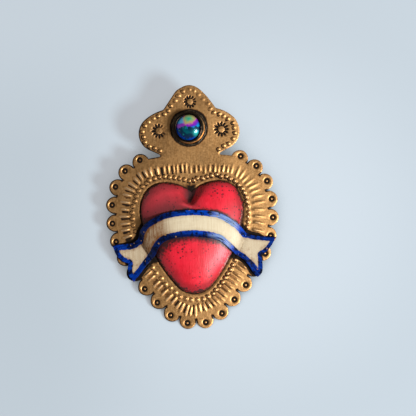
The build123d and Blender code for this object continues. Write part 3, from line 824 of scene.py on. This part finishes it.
cup = {
    "stoneRadius": 4.0, "girdle": 1.0, "dome": 2.3, "floor": 0.3,
    "inside": 4.05, "outside": 4.55, "bend": 2.0, "lip": 3.66, "lipTop": 2.84, "lipUnder": 2.35,
    "wobble": 0.03, "push": 0.36, "rubbedAt": -0.75, "rubbedRadius": 4.42,
    "waves": [(3, 0.6, 1), (7, 2, 0.7), (13, 0, 0.5), (23, 0, 0.4)],
    "solderWidth": 0.52, "solderRise": 0.72, "columns": 144,
    "solderWaves": [(5, 1, 1), (11, 0.4, 1), (17, 2, 0.8), (29, 0, 0.5)],
}


def waves(turn, parts):
    # waves round the cup, each with its count, start and size
    return sum(size * np.sin(count * turn + start) for count, start, size in parts)


def turned(radius, height, wobble=None):
    # points and faces of a profile of radius and height carried round the cup's middle
    turn = np.arange(cup["columns"]) * 2 * math.pi / cup["columns"]
    r, w = (np.repeat(profile[:, None], cup["columns"], 1) for profile in (radius, height))
    if wobble is not None:
        r, w = wobble(r, w, turn)
    points = toFrame(cupMiddle[0] + r * np.cos(turn), cupMiddle[1] + r * np.sin(turn), plate["sheet"] + w)
    return points, gridFaces(*r.shape, True)


def makeCup():
    # floor, upright wall and burnished lip, a little uneven and pushed further over on the right
    bendTurn = np.linspace(0, math.pi / 2, 9)
    lipRound = np.linspace(math.pi / 2, 1.5 * math.pi, 9)[1:-1]
    inside, outside, bend, floor = (cup[key] for key in ("inside", "outside", "bend", "floor"))
    thick = (cup["lipTop"] - cup["lipUnder"]) / 2
    lip = cup["lip"] + thick
    radius = np.hstack([0.001, 2.5, outside, outside - 0.02, outside - 0.02, outside,
                        lip + (outside - lip) * np.cos(bendTurn), lip + thick * np.cos(lipRound),
                        lip, inside, inside, 2.5, 0.001])
    height = np.hstack([0, 0, 0, 0.3, 1.0, bend - 0.1, bend + (cup["lipTop"] - bend) * np.sin(bendTurn),
                        cup["lipTop"] - thick + thick * np.sin(lipRound),
                        cup["lipUnder"], bend - 0.05, floor, floor, floor])

    def wobble(r, w, turn):
        lift = cup["wobble"] * waves(turn, cup["waves"]) * smooth(0.9, 2.6, w) * smooth(3.0, 3.5, r)
        pushed = cup["push"] * np.clip(np.cos(turn), 0, 1) ** 2 * smooth(4.2, 3.8, r) * smooth(2.1, 2.4, w)
        return r + 0.6 * lift - pushed, w + 0.5 * lift * (r > 3.5) + pushed

    piece = makePiece("stoneCup", *turned(radius, height, wobble))
    u, v, w = toBench(placesOf(piece))
    away = np.hypot(u - cupMiddle[0], v - cupMiddle[1])
    turn = np.arctan2(v - cupMiddle[1], u - cupMiddle[0])
    # painted highlight: brass on the lip where it faces the lamp at the lower right
    rubbed = 0.5 + 0.5 * np.cos(turn - cup["rubbedAt"])
    ring = bump((away - cup["rubbedRadius"]) / 0.3) * smooth(1.6, 2.0, w - plate["sheet"])
    addMasks(piece, crest=ring * smooth(0.45, 0.85, rubbed))
    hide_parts("bezel_cup")
    return piece


def makeSolder():
    # a lumpy fillet that the solder left at the foot of the cup
    part = np.linspace(0, math.pi / 2, 9)
    start = cup["outside"] + 0.02
    radius = np.hstack([start, start + cup["solderWidth"] * (1 - np.sin(part)), start])
    height = np.hstack([0.0, cup["solderRise"] * (1 - np.cos(part)), 0.0])

    def wobble(r, w, turn):
        wave = waves(turn, cup["solderWaves"])
        return start + (r - start) * (1 + 0.16 * wave), w * (1 + 0.12 * wave)

    piece = makePiece("cupSolder", *turned(radius, height, wobble))
    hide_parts("bezel_solder")
    return piece


def makeStone():
    # flat base, short girdle and an elliptic dome
    turn = np.linspace(0, math.pi / 2, 34)
    base = cup["floor"] + 0.005
    radius = np.hstack([0.001, 2, 3.9, 3.98, 4.0, cup["stoneRadius"] * np.cos(turn)])
    height = np.hstack([0, 0, 0, 0.03, 0.1, cup["girdle"] + cup["dome"] * np.sin(turn)]) + base
    piece = makePiece("coatedStone", *turned(radius, height))
    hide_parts("cabochon")
    return piece


# Shader helpers: they work in the tree that was opened last, by newGroup, newMaterial or makeLight.

opened = {}


def feed(socket, value):
    # a link from another socket, or a plain value
    if isinstance(value, bpy.types.NodeSocket):
        opened["tree"].links.new(value, socket)
    else:
        socket.default_value = value


def fill(sockets, values):
    for key, value in values.items():
        feed(sockets[key], value)


def addNode(kind, inputs=None, **settings):
    # a node with its settings, and its inputs by name or number
    node = opened["tree"].nodes.new("ShaderNode" + kind)
    for name, value in settings.items():
        setattr(node, name, value)
    fill(node.inputs, inputs or {})
    return node


def mixColour(share, first, second):
    return addNode("Mix", {0: share, 6: first, 7: second}, data_type="RGBA").outputs[2]


def coated(colour, *coats):
    # coats laid over a colour in turn, each by its share
    for share, coat in coats:
        colour = mixColour(share, colour, coat)
    return colour


def sums(operation, *values):
    return addNode("Math", dict(enumerate(values)), operation=operation).outputs[0]


def times(first, second):
    return sums("MULTIPLY", first, second)


def plus(first, second):
    return sums("ADD", first, second)


def timesPlus(first, second, third):
    return sums("MULTIPLY_ADD", first, second, third)


def larger(first, second):
    return sums("MAXIMUM", first, second)


def apart(x, z, place):
    # distance from a place in the plane of the face
    beside, above = (sums("POWER", plus(value, -float(c)), 2) for value, c in zip((x, z), place))
    return sums("SQRT", plus(beside, above))


def ramp(value, low, high, toLow=0, toHigh=1):
    inputs = {0: value, 1: low, 2: high, 3: toLow, 4: toHigh}
    return addNode("MapRange", inputs, interpolation_type="SMOOTHSTEP").outputs[0]


def mask(name):
    return addNode("Attribute", attribute_name=name).outputs["Fac"]


def noise(place, scale, detail, rough=0.5):
    inputs = {"Vector": place, "Scale": scale, "Detail": detail, "Roughness": rough}
    return addNode("TexNoise", inputs).outputs[0]


def addBump(shader, height, strength, distance):
    bumped = addNode("Bump", {"Height": height, "Strength": strength, "Distance": distance})
    feed(shader["Normal"], bumped.outputs[0])


def newGroup(name, inputs, outputs):
    # a group that takes a place and values, and puts out masks
    tree = opened["tree"] = bpy.data.node_groups.new(name, "ShaderNodeTree")
    tree.interface.new_socket("Place", in_out="INPUT", socket_type="NodeSocketVector")
    for labels, side in ((inputs, "INPUT"), (outputs, "OUTPUT")):
        for label in labels:
            tree.interface.new_socket(label, in_out=side, socket_type="NodeSocketFloat")
    return tree, tree.nodes.new("NodeGroupInput").outputs, tree.nodes.new("NodeGroupOutput").inputs


def useGroup(name, *values):
    node = addNode("Group", node_tree=groups[name])
    fill(node.inputs, dict(enumerate(values)))
    return list(node.outputs)


def strokeGroup():
    # long fine strokes along Z, and broad soft ones under them
    tree, given, out = newGroup("strokes", ["Fine", "Broad"], ["Streak", "Cloud"])
    stretch = addNode("Mapping", {0: given["Place"], 3: (1, 1, 0.045)}).outputs[0]
    fill(out, {"Streak": noise(stretch, given["Fine"], 3, 0.6),
               "Cloud": noise(given["Place"], given["Broad"], 3, 0.55)})
    return tree


def speckGroup():
    # scattered specks: cells whose own number is low hold a ragged spot
    tree, given, out = newGroup("specks", ["Scale", "Share", "Size"], ["Mask"])
    ragged = noise(given["Place"], times(given["Scale"], 3), 2)
    cells = addNode("TexVoronoi", {"Vector": given["Place"], "Scale": given["Scale"]}).outputs
    own = addNode("SeparateColor", {0: cells["Color"]}).outputs
    chosen = sums("LESS_THAN", own[0], given["Share"])
    reach = times(times(given["Size"], plus(own[1], 0.45)), times(ragged, 2))
    spot = ramp(sums("DIVIDE", cells["Distance"], reach), 1, 0.6)
    feed(out["Mask"], times(spot, chosen))
    return tree


def antiqueGroup():
    # dark wax and painted shade in the hollows, broken up at its edge, and the crests above it lighter with
    # wear and painted highlight
    tree, given, out = newGroup("antique", ["Dirt", "Crest"], ["Dark", "Bright"])
    spread = timesPlus(noise(given["Place"], 1500, 4, 0.65), 0.9, -0.45)
    fill(out, {"Dark": ramp(timesPlus(spread, 0.8, given["Dirt"]), 0.18, 0.95),
               "Bright": ramp(timesPlus(spread, 0.5, given["Crest"]), 0.35, 0.9)})
    return tree


groups = {"strokes": strokeGroup(), "specks": speckGroup(), "antique": antiqueGroup()}


def newMaterial(name):
    material = bpy.data.materials.new(name)
    material.use_nodes = True
    opened["tree"] = material.node_tree
    material.node_tree.nodes.clear()
    shader = addNode("BsdfPrincipled")
    addNode("OutputMaterial", {0: shader.outputs[0]})
    return material, shader.inputs, addNode("TexCoord").outputs["Object"]


gilt = {
    "dark": (0.016, 0.009, 0.005, 1), "low": (0.625, 0.31, 0.105, 1), "mid": (0.76, 0.435, 0.178, 1),
    "bright": (0.83, 0.63, 0.39, 1), "brown": (0.25, 0.115, 0.042, 1), "tin": (0.50, 0.385, 0.235, 1),
    "tarnish": (0.19, 0.125, 0.07, 1),
}


def giltMaterial():
    # brushed gilt sheet: lighter along strokes, crests lighter with wear and painted highlight, waxed dark in
    # the hollows with painted shade beside the work and on the left, duller behind
    material, shader, place = newMaterial("gilt")
    streak, cloud = useGroup("strokes", place, 5200, 2600)
    dark, bright = useGroup("antique", place, mask("dirt"), mask("crest"))
    behind = mask("behind")
    colour = coated(
        gilt["low"],
        (ramp(timesPlus(streak, 0.6, times(cloud, 0.4)), 0.3, 0.72), gilt["mid"]),
        (ramp(noise(place, 210, 3, 0.6), 0.48, 0.7, 0, 0.38), gilt["brown"]),
        (times(bright, 0.52), gilt["bright"]),
        (times(behind, 0.8), gilt["tin"]),
        (times(behind, ramp(noise(place, 95, 6, 0.68), 0.44, 0.66, 0, 0.75)), gilt["tarnish"]),
        (ramp(dark, 0, 0.6), gilt["brown"]),
        (ramp(dark, 0.45, 1), gilt["dark"]))
    rough = timesPlus(dark, 0.2, ramp(cloud, 0.3, 0.7, 0.38, 0.52))
    fill(shader, {"Base Color": colour, "Metallic": ramp(dark, 0.55, 1, 1, 0.8), "Roughness": rough})
    addBump(shader, timesPlus(streak, 0.6, cloud), 0.14, 0.00004)
    return material


red = {
    "deep": (0.68, 0.006, 0.02, 1), "red": (0.90, 0.013, 0.038, 1), "light": (0.95, 0.07, 0.10, 1),
    "pink": (0.95, 0.29, 0.33, 1), "black": (0.008, 0.005, 0.005, 1), "speck": (0.12, 0.006, 0.012, 1),
    "bare": (0.55, 0.5, 0.45, 1), "haze": (0.20, 0.15, 0.16, 1),
}


def redMaterial():
    # satin red brushed on upright, specked black, waxed dark at the foot and in the cleft
    material, shader, place = newMaterial("redPaint")
    edge, nearBanner, valley = mask("edge"), mask("nearBanner"), mask("valley")
    streak, cloud = useGroup("strokes", place, 3000, 260)
    spots = larger(*useGroup("specks", place, 1500, 0.4, 0.4), *useGroup("specks", place, 900, 0.22, 0.27))
    broken = noise(place, 1400, 3)
    ragged = plus(cloud, timesPlus(broken, 1.3, -1.15))
    rim = larger(ramp(plus(edge, ragged), 0.5, 0.1, 0, 0.95), ramp(edge, 2.2, 0.2, 0, 0.5))
    # black along the banner, widened under its left and middle by painted shade
    banded = ramp(plus(nearBanner, ragged), 1.05, 0.1, 0, 0.95)
    crowd = plus(noise(place, 200, 2), ramp(nearBanner, 3, 0.5, 0, 0.15))
    colour = coated(
        red["deep"],
        (ramp(timesPlus(streak, 0.28, times(cloud, 0.8)), 0.36, 0.66), red["red"]),
        (ramp(streak, 0.58, 0.8, 0, 0.35), red["light"]),
        # painted sheen in pale pink strokes on the lower right
        (times(mask("thin"), ramp(streak, 0.35, 0.65, 0.2, 0.8)), red["pink"]),
        # painted shade: a grey veil on the left lobe
        (times(mask("haze"), 0.2), red["haze"]),
        # painted highlight: the ridge at the valley's foot painted lighter
        (times(mask("ridge"), 0.5), red["light"]),
        (times(spots, ramp(crowd, 0.46, 0.58, 0.06, 0.92)), red["speck"]),
        (larger(larger(rim, banded), times(valley, 0.95)), red["black"]),
        (times(mask("bare"), ramp(broken, 0.44, 0.56)), red["bare"]))
    rough = timesPlus(valley, 0.4, ramp(streak, 0.25, 0.75, 0.38, 0.5))
    fill(shader, {"Base Color": colour, "Roughness": rough})
    addBump(shader, streak, 0.7, 0.00006)
    return material


ribbon = {
    "cream": (0.66, 0.51, 0.32, 1), "pale": (0.84, 0.73, 0.52, 1), "brown": (0.2, 0.08, 0.025, 1),
    "crease": (0.07, 0.034, 0.016, 1), "gold": (0.36, 0.20, 0.065, 1), "blue": (0.0002, 0.021, 0.28, 1),
    "blueDark": (0.0008, 0.0025, 0.014, 1), "blueLight": (0.0002, 0.08, 0.56, 1),
    "blueWorn": (0.28, 0.40, 0.68, 1),
}


def bannerMaterial():
    # cream brushed along the ribbon, a royal blue border laid on by hand, specked and chipped to the gilt;
    # painted shade on the left and in the folds, and a painted sheen on the blue's right slope
    material, shader, place = newMaterial("bannerPaint")
    along, across, border, fold = mask("along"), mask("across"), mask("border"), mask("fold")
    run = addNode("CombineXYZ", {0: times(along, 0.16), 1: times(across, 2.6)}).outputs[0]
    hatch = noise(run, 1.6, 4, 0.65)
    streak, cloud = useGroup("strokes", place, 3600, 700)
    grain = timesPlus(streak, 0.75, times(hatch, 0.25))
    fromMiddle = sums("ABSOLUTE", along)
    # the brown stain grows toward the left, in part painted shade where the band turns away from the lamp
    leftward = plus(ramp(along, 1.5, -4.5, 0, 0.14), ramp(along, -4.5, -9.5, 0, 0.8))
    stain = times(times(ramp(grain, 0.6, 0.4, 0.72, 1), leftward), ramp(along, -15.5, -18, 1, 0.46))
    stain = plus(plus(stain, ramp(border, 1.6, 1, 0, 0.2)), ramp(along, 14.5, 17, 0, 0.24))
    smears = ramp(noise(place, 520, 4, 0.65), 0.5, 0.7, 0, 0.3)
    stain = plus(stain, times(smears, ramp(fromMiddle, 9, 16, 0.35, 1)))
    # painted shade along the folds, heavier on the left
    foldSide = ramp(along, -4, -10, 0.2, 1)
    foldLine = ramp(timesPlus(cloud, 0.5, fold), 0.72, 0.35, 0, 0.9)
    inFold = times(ramp(fold, 2.4, 0.2, 0, 0.72), ramp(along, -14.9, -14.5))
    cream = coated(
        ribbon["cream"],
        (ramp(grain, 0.36, 0.62, 0.42, 0.82), ribbon["pale"]),
        (stain, ribbon["brown"]),
        (times(foldLine, foldSide), ribbon["crease"]),
        (times(inFold, foldSide), ribbon["crease"]))
    # painted sheen: pale blue streaks on the right slope where the lamp's highlight falls
    worn = times(times(ramp(along, 4.2, 7.2), ramp(along, 14, 11.5)), ramp(hatch, 0.38, 0.56, 0.05, 0.88))
    onBand = ramp(along, -21.5, -17, 0.4, 0.95)
    blue = coated(
        ribbon["blue"],
        (ramp(hatch, 0.35, 0.7), ribbon["blueLight"]),
        (ramp(cloud, 0.54, 0.38, 0, 0.92), ribbon["blueDark"]),
        (worn, ribbon["blueWorn"]),
        # painted shade: the blue darkens toward the left
        (times(ramp(along, 2, -8.5, 0, 0.86), onBand), ribbon["blueDark"]),
        (ramp(along, 14.5, 17, 0, 0.5), ribbon["blueDark"]),
        (times(ramp(across, 1.4, 0.3, 0, 0.8), ramp(fromMiddle, 11, 7)), ribbon["blueDark"]),
        (times(useGroup("specks", place, 1300, 0.3, 0.4)[0], 0.75), ribbon["blueDark"]),
        (times(useGroup("specks", place, 1000, 0.2, 0.28)[0], 0.8), ribbon["gold"]))
    painted = ramp(timesPlus(cloud, 0.4, plus(border, -0.2)), 1.06, 0.94)
    grimy = ramp(timesPlus(cloud, 0.35, border), 0.3, 0.18, 0, 0.7)
    colour = coated(cream, (painted, blue), (grimy, ribbon["blueDark"]))
    rough = timesPlus(painted, -0.14, ramp(hatch, 0.3, 0.7, 0.36, 0.52))
    fill(shader, {"Base Color": colour, "Roughness": rough, "Specular IOR Level": 0.14})
    addBump(shader, timesPlus(painted, 0.6, times(hatch, 0.8)), 0.45, 0.00007)
    return material


metals = {
    "patina": (0.020, 0.014, 0.010, 1), "brass": (0.72, 0.46, 0.21, 1), "rust": (0.12, 0.09, 0.06, 1),
    "blackSolder": ((0.012, 0.009, 0.007, 1), (0.11, 0.075, 0.04, 1)),
    "greySolder": ((0.2, 0.19, 0.18, 1), (0.5, 0.49, 0.47, 1)),
    "nickelPlate": ((0.34, 0.31, 0.26, 1), (0.68, 0.65, 0.58, 1)),
    "pinWire": ((0.45, 0.44, 0.42, 1), (0.78, 0.77, 0.75, 1)),
}


def cupMaterial():
    # black patina, with brass on the lip's lower right as a painted highlight, broken up at random
    material, shader, place = newMaterial("darkBrass")
    cloud = useGroup("strokes", place, 4000, 900)[1]
    lit = times(mask("crest"), ramp(cloud, 0.3, 0.5, 0.5, 1))
    fill(shader, {"Base Color": mixColour(lit, metals["patina"], metals["brass"]), "Metallic": 1,
                  "Roughness": ramp(cloud, 0.3, 0.7, 0.26, 0.36)})
    addBump(shader, cloud, 0.15, 0.00004)
    return material


def solderMaterial(name):
    # dull solder with a lumpy skin
    material, shader, place = newMaterial(name)
    cloud = useGroup("strokes", place, 2500, 1100)[1]
    fill(shader, {"Base Color": mixColour(ramp(cloud, 0.35, 0.72), *metals[name]), "Metallic": 0.7,
                  "Roughness": ramp(cloud, 0.3, 0.7, 0.36, 0.6)})
    addBump(shader, cloud, 0.5, 0.00015)
    return material


def steelMaterial(name, fine):
    # plated or drawn steel with fine strokes and dull clouds
    material, shader, place = newMaterial(name)
    streak, cloud = useGroup("strokes", place, fine, 600)
    specks = useGroup("specks", place, 1400, 0.1, 0.3)[0]
    colour = mixColour(ramp(timesPlus(streak, 0.6, times(cloud, 0.5)), 0.35, 0.8), *metals[name])
    fill(shader, {"Base Color": mixColour(times(specks, 0.6), colour, metals["rust"]), "Metallic": 1,
                  "Roughness": ramp(cloud, 0.3, 0.7, 0.24, 0.42)})
    addBump(shader, streak, 0.25, 0.00004)
    return material


stone = {
    "reach": 3.6, "eye": (0.02, 0.7), "eyeWide": 0.82, "skyline": 0.04, "skylineSoft": (-0.04, 0.05),
    "rings": [(0.0, (0.03, 0.40, 0.27, 1)), (0.18, (0.16, 0.46, 0.22, 1)), (0.34, (0.48, 0.42, 0.13, 1)),
              (0.43, (0.50, 0.16, 0.34, 1)), (0.52, (0.34, 0.01, 0.46, 1)), (0.66, (0.08, 0.025, 0.5, 1)),
              (0.8, (0.002, 0.19, 0.62, 1)), (1.0, (0.002, 0.42, 0.52, 1))],
    "deeps": [(0.0, (0.0003, 0.02, 0.045, 1)), (0.26, (0.0003, 0.05, 0.09, 1)),
              (0.44, (0.0003, 0.10, 0.12, 1)), (0.56, (0.0003, 0.03, 0.06, 1)),
              (0.80, (0.0003, 0.012, 0.05, 1)), (0.91, (0.001, 0.04, 0.28, 1)),
              (1.0, (0.001, 0.06, 0.46, 1))],
    "wash": (0.07, 0.42, 0.70, 1), "violet": (0.28, 0.03, 0.42, 1), "glint": (0.004, 0.22, 0.20, 1),
    "glow": (0.01, 0.34, 0.32, 1), "glowAt": (0.6, -0.48),
}


def colourRun(value, stops):
    node = addNode("ValToRGB", {0: value})
    elements = node.color_ramp.elements
    elements[0].position, elements[0].color = stops[0]
    elements[1].position, elements[1].color = stops[-1]
    for position, colour in stops[1:-1]:
        elements.new(position).color = colour
    return node.outputs[0]


def stoneMaterial():
    # coated glass with a painted reflection: the coat's colour rings about an eye in a bright sky near the
    # top, a ragged skyline, deep teal ground below, painted glints and a painted glow beside the lamp's
    # highlight
    material, shader, place = newMaterial("coatedStone")
    middle = toFrame(*cupMiddle, 0)
    size = 1 / (stone["reach"] * mm)
    shift = (-middle[0] * size, 0, -middle[2] * size)
    centred = addNode("Mapping", {0: place, 1: shift, 3: (size, size, size)}).outputs[0]
    parts = addNode("SeparateXYZ", {0: centred}).outputs
    x, z = parts[0], parts[2]
    loose = timesPlus(noise(place, 620, 4, 0.62), 0.9, -0.45)
    trees = noise(place, 1500, 3, 0.7)
    jagged = plus(loose, timesPlus(trees, 0.8, -0.4))
    fromEye = apart(times(plus(x, -stone["eye"][0]), stone["eyeWide"]), z, (0, stone["eye"][1]))
    mottled = timesPlus(plus(trees, -0.5), 0.5, fromEye)
    aside = timesPlus(loose, 0.5, x)
    upper = coated(
        colourRun(timesPlus(loose, 0.5, mottled), stone["rings"]),
        (times(ramp(aside, -0.32, -0.55), ramp(z, 0.28, 0.45, 0, 0.9)), stone["wash"]),
        (times(ramp(aside, -0.2, -0.5), ramp(z, 0.38, 0.24, 0, 0.9)), stone["violet"]))
    lower = coated(
        colourRun(timesPlus(jagged, 0.6, apart(x, z, (0, 0))), stone["deeps"]),
        (times(useGroup("specks", place, 1100, 0.3, 0.34)[0], 0.7), stone["glint"]),
        (ramp(apart(x, z, stone["glowAt"]), 0.42, 0.08, 0, 0.8), stone["glow"]))
    sky = ramp(timesPlus(jagged, 0.7, z), *(stone["skyline"] + soft for soft in stone["skylineSoft"]))
    fill(shader, {"Base Color": mixColour(sky, lower, upper), "Metallic": 0.15, "Roughness": 0.3,
                  "Specular IOR Level": 0.1, "Coat Weight": 0.36, "Coat Roughness": 0.04})
    return material


def dress(piece, material):
    piece.data.materials.clear()
    piece.data.materials.append(material)


dress(makePlate(), giltMaterial())
dress(makeHeart(), redMaterial())
dress(makeBanner(), bannerMaterial())
dress(makeCup(), cupMaterial())
dress(makeSolder(), solderMaterial("blackSolder"))
dress(makeStone(), stoneMaterial())
nickel = steelMaterial("nickelPlate", 3200)
for node in ("pin_bar", "hinge_rivet", "catch_housing", "safety_roller"):
    dress(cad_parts[node], nickel)
dress(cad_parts["pin_stem"], steelMaterial("pinWire", 4200))
dress(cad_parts["bar_solder"], solderMaterial("greySolder"))
print("pieces dressed")

# Stage, light and camera.

stage = {
    "photoWidth": 119.3, "centre": (4.585, 34.84, 1.0), "tilt": 0.03913, "distance": 0.62, "sensor": 36.0,
    "paper": (0.165, 0.22, 0.255, 1), "paperGlow": (0.436, 0.456, 0.488, 1), "paperReach": 0.9,
    "paperGap": 0.0001, "footFall": 8.5, "nearGlow": 0.14, "nearReach": 0.016,
    "brightAt": (17.0, 33.0), "brightReach": (18.0, 66.0), "brightShare": (1.15, 0.955),
    "dimLeft": (-4.0, -46.0), "dimBelow": (95.0, 45.0), "dimShare": 0.11,
    "lampFrom": (8.0, -3.7, 9.5), "lampAim": (0.0, 32.0, 2.0), "lampDistance": 0.9, "lampSize": 0.24,
    "lampPower": 9.2, "lampColour": (0.97, 0.99, 1.0), "sky": (1.0, 0.98, 0.95, 1),
    "leftFill": 0.24, "rightFill": 0.55, "farLeft": 0.25, "frontShare": 0.25, "pale": (0.617, 0.694, 0.76, 1),
}


def makeBackdrop():
    # pale paper that the foot and the back of the catch rest on, seen from its front only
    rearmost = max(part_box(n)[1].y for n in ("catch_housing", "safety_roller", "pin_stem", "pin_bar"))
    footY = backY + stage["footFall"] * plate["rimFall"] * mm
    lean = (rearmost - footY) / (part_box("catch_housing")[0].z - plateLow.z)
    reach = np.array([-1, 1]) * stage["paperReach"]
    x, z = np.meshgrid(reach, reach)
    y = footY + stage["paperGap"] + lean * (z - plateLow.z)
    mesh = bpy.data.meshes.new("paper")
    mesh.from_pydata(np.stack([x, y, z], -1).reshape(-1, 3), [], [(0, 1, 3, 2)])
    paper = addObject(mesh, "paper")
    material, shader, spot = newMaterial("paper")
    path = addNode("LightPath").outputs
    parts = addNode("SeparateXYZ", {0: spot}).outputs
    # painted light on the paper: painted contact shade from ambient occlusion by the charm, a painted pool of
    # light to its right and painted shade to its left, fading out upward
    near = addNode("AmbientOcclusion", {"Distance": stage["nearReach"]}, samples=8).outputs["AO"]
    brightAt = toFrame(*stage["brightAt"], 0)
    away = apart(parts[0], parts[2], (brightAt[0], brightAt[2]))
    lit = ramp(away, *(reach * mm for reach in stage["brightReach"]), *stage["brightShare"])
    dimLeft = ramp(parts[0], *(u * mm for u in stage["dimLeft"]), 0, stage["dimShare"])
    dimBelow = ramp(parts[2], *(footZ + v * mm for v in stage["dimBelow"]))
    lit = times(ramp(near, 0.2, 0.86, stage["nearGlow"]), sums("SUBTRACT", lit, times(dimLeft, dimBelow)))
    glow = plus(times(lit, path["Is Camera Ray"]), sums("SUBTRACT", 1, path["Is Camera Ray"]))
    fill(shader, {"Base Color": stage["paper"], "Roughness": 0.85, "Specular IOR Level": 0.2,
                  "Emission Color": stage["paperGlow"], "Emission Strength": glow})
    seen = larger(path["Is Camera Ray"], larger(path["Is Glossy Ray"], path["Is Transmission Ray"]))
    shown = times(seen, sums("SUBTRACT", 1, addNode("NewGeometry").outputs["Backfacing"]))
    nodes = {node.type: node for node in material.node_tree.nodes}
    both = addNode("MixShader", {0: shown, 1: addNode("BsdfTransparent").outputs[0],
                                 2: nodes["BSDF_PRINCIPLED"].outputs[0]})
    feed(nodes["OUTPUT_MATERIAL"].inputs[0], both.outputs[0])
    dress(paper, material)


def makeLight():
    # one soft lamp low on the right, aimed at the charm's middle, and a pale sky
    u, v, w = stage["lampFrom"]
    toward = Vector((u, -w, v)).normalized()
    data = bpy.data.lights.new("softLamp", "AREA")
    data.shape = "DISK"
    data.size = stage["lampSize"]
    data.energy = stage["lampPower"]
    data.color = stage["lampColour"]
    lamp = addObject(data, "softLamp")
    lamp.location = Vector(toFrame(*stage["lampAim"])) + toward * stage["lampDistance"]
    lamp.rotation_euler = toward.to_track_quat("Z", "Y").to_euler()
    world = bpy.data.worlds.new("sky")
    world.use_nodes = True
    opened["tree"] = world.node_tree
    world.node_tree.nodes.clear()
    parts = addNode("SeparateXYZ", {0: addNode("TexCoord").outputs["Generated"]}).outputs
    power = plus(ramp(parts[0], -0.7, 0.7, stage["leftFill"], stage["rightFill"]),
                 ramp(parts[0], -0.6, -0.85, 0, stage["farLeft"]))
    power = times(power, ramp(parts[1], -0.5, -0.95, 1, stage["frontShare"]))
    dim = addNode("Background", {0: stage["sky"], 1: power}).outputs[0]
    seen = addNode("Background", {0: stage["pale"]}).outputs[0]
    both = addNode("MixShader", {0: addNode("LightPath").outputs["Is Camera Ray"], 1: dim, 2: seen})
    addNode("OutputWorld", {0: both.outputs[0]})
    bpy.context.scene.world = world


def makeCamera():
    # square to the face, turned as the photo is, with the photo's width across the face
    lens = bpy.data.cameras.new("camera")
    lens.sensor_width = stage["sensor"]
    lens.lens = stage["sensor"] * stage["distance"] / (stage["photoWidth"] * mm)
    lens.clip_start = 0.01
    camera = addObject(lens, "camera")
    camera.location = Vector(toFrame(*stage["centre"])) - Vector((0, stage["distance"], 0))
    camera.rotation_euler = (math.pi / 2, math.asin(stage["tilt"]), 0)
    bpy.context.scene.camera = camera


makeBackdrop()
makeLight()
makeCamera()
bpy.context.scene.view_settings.view_transform = "Standard"
print("scene ready")
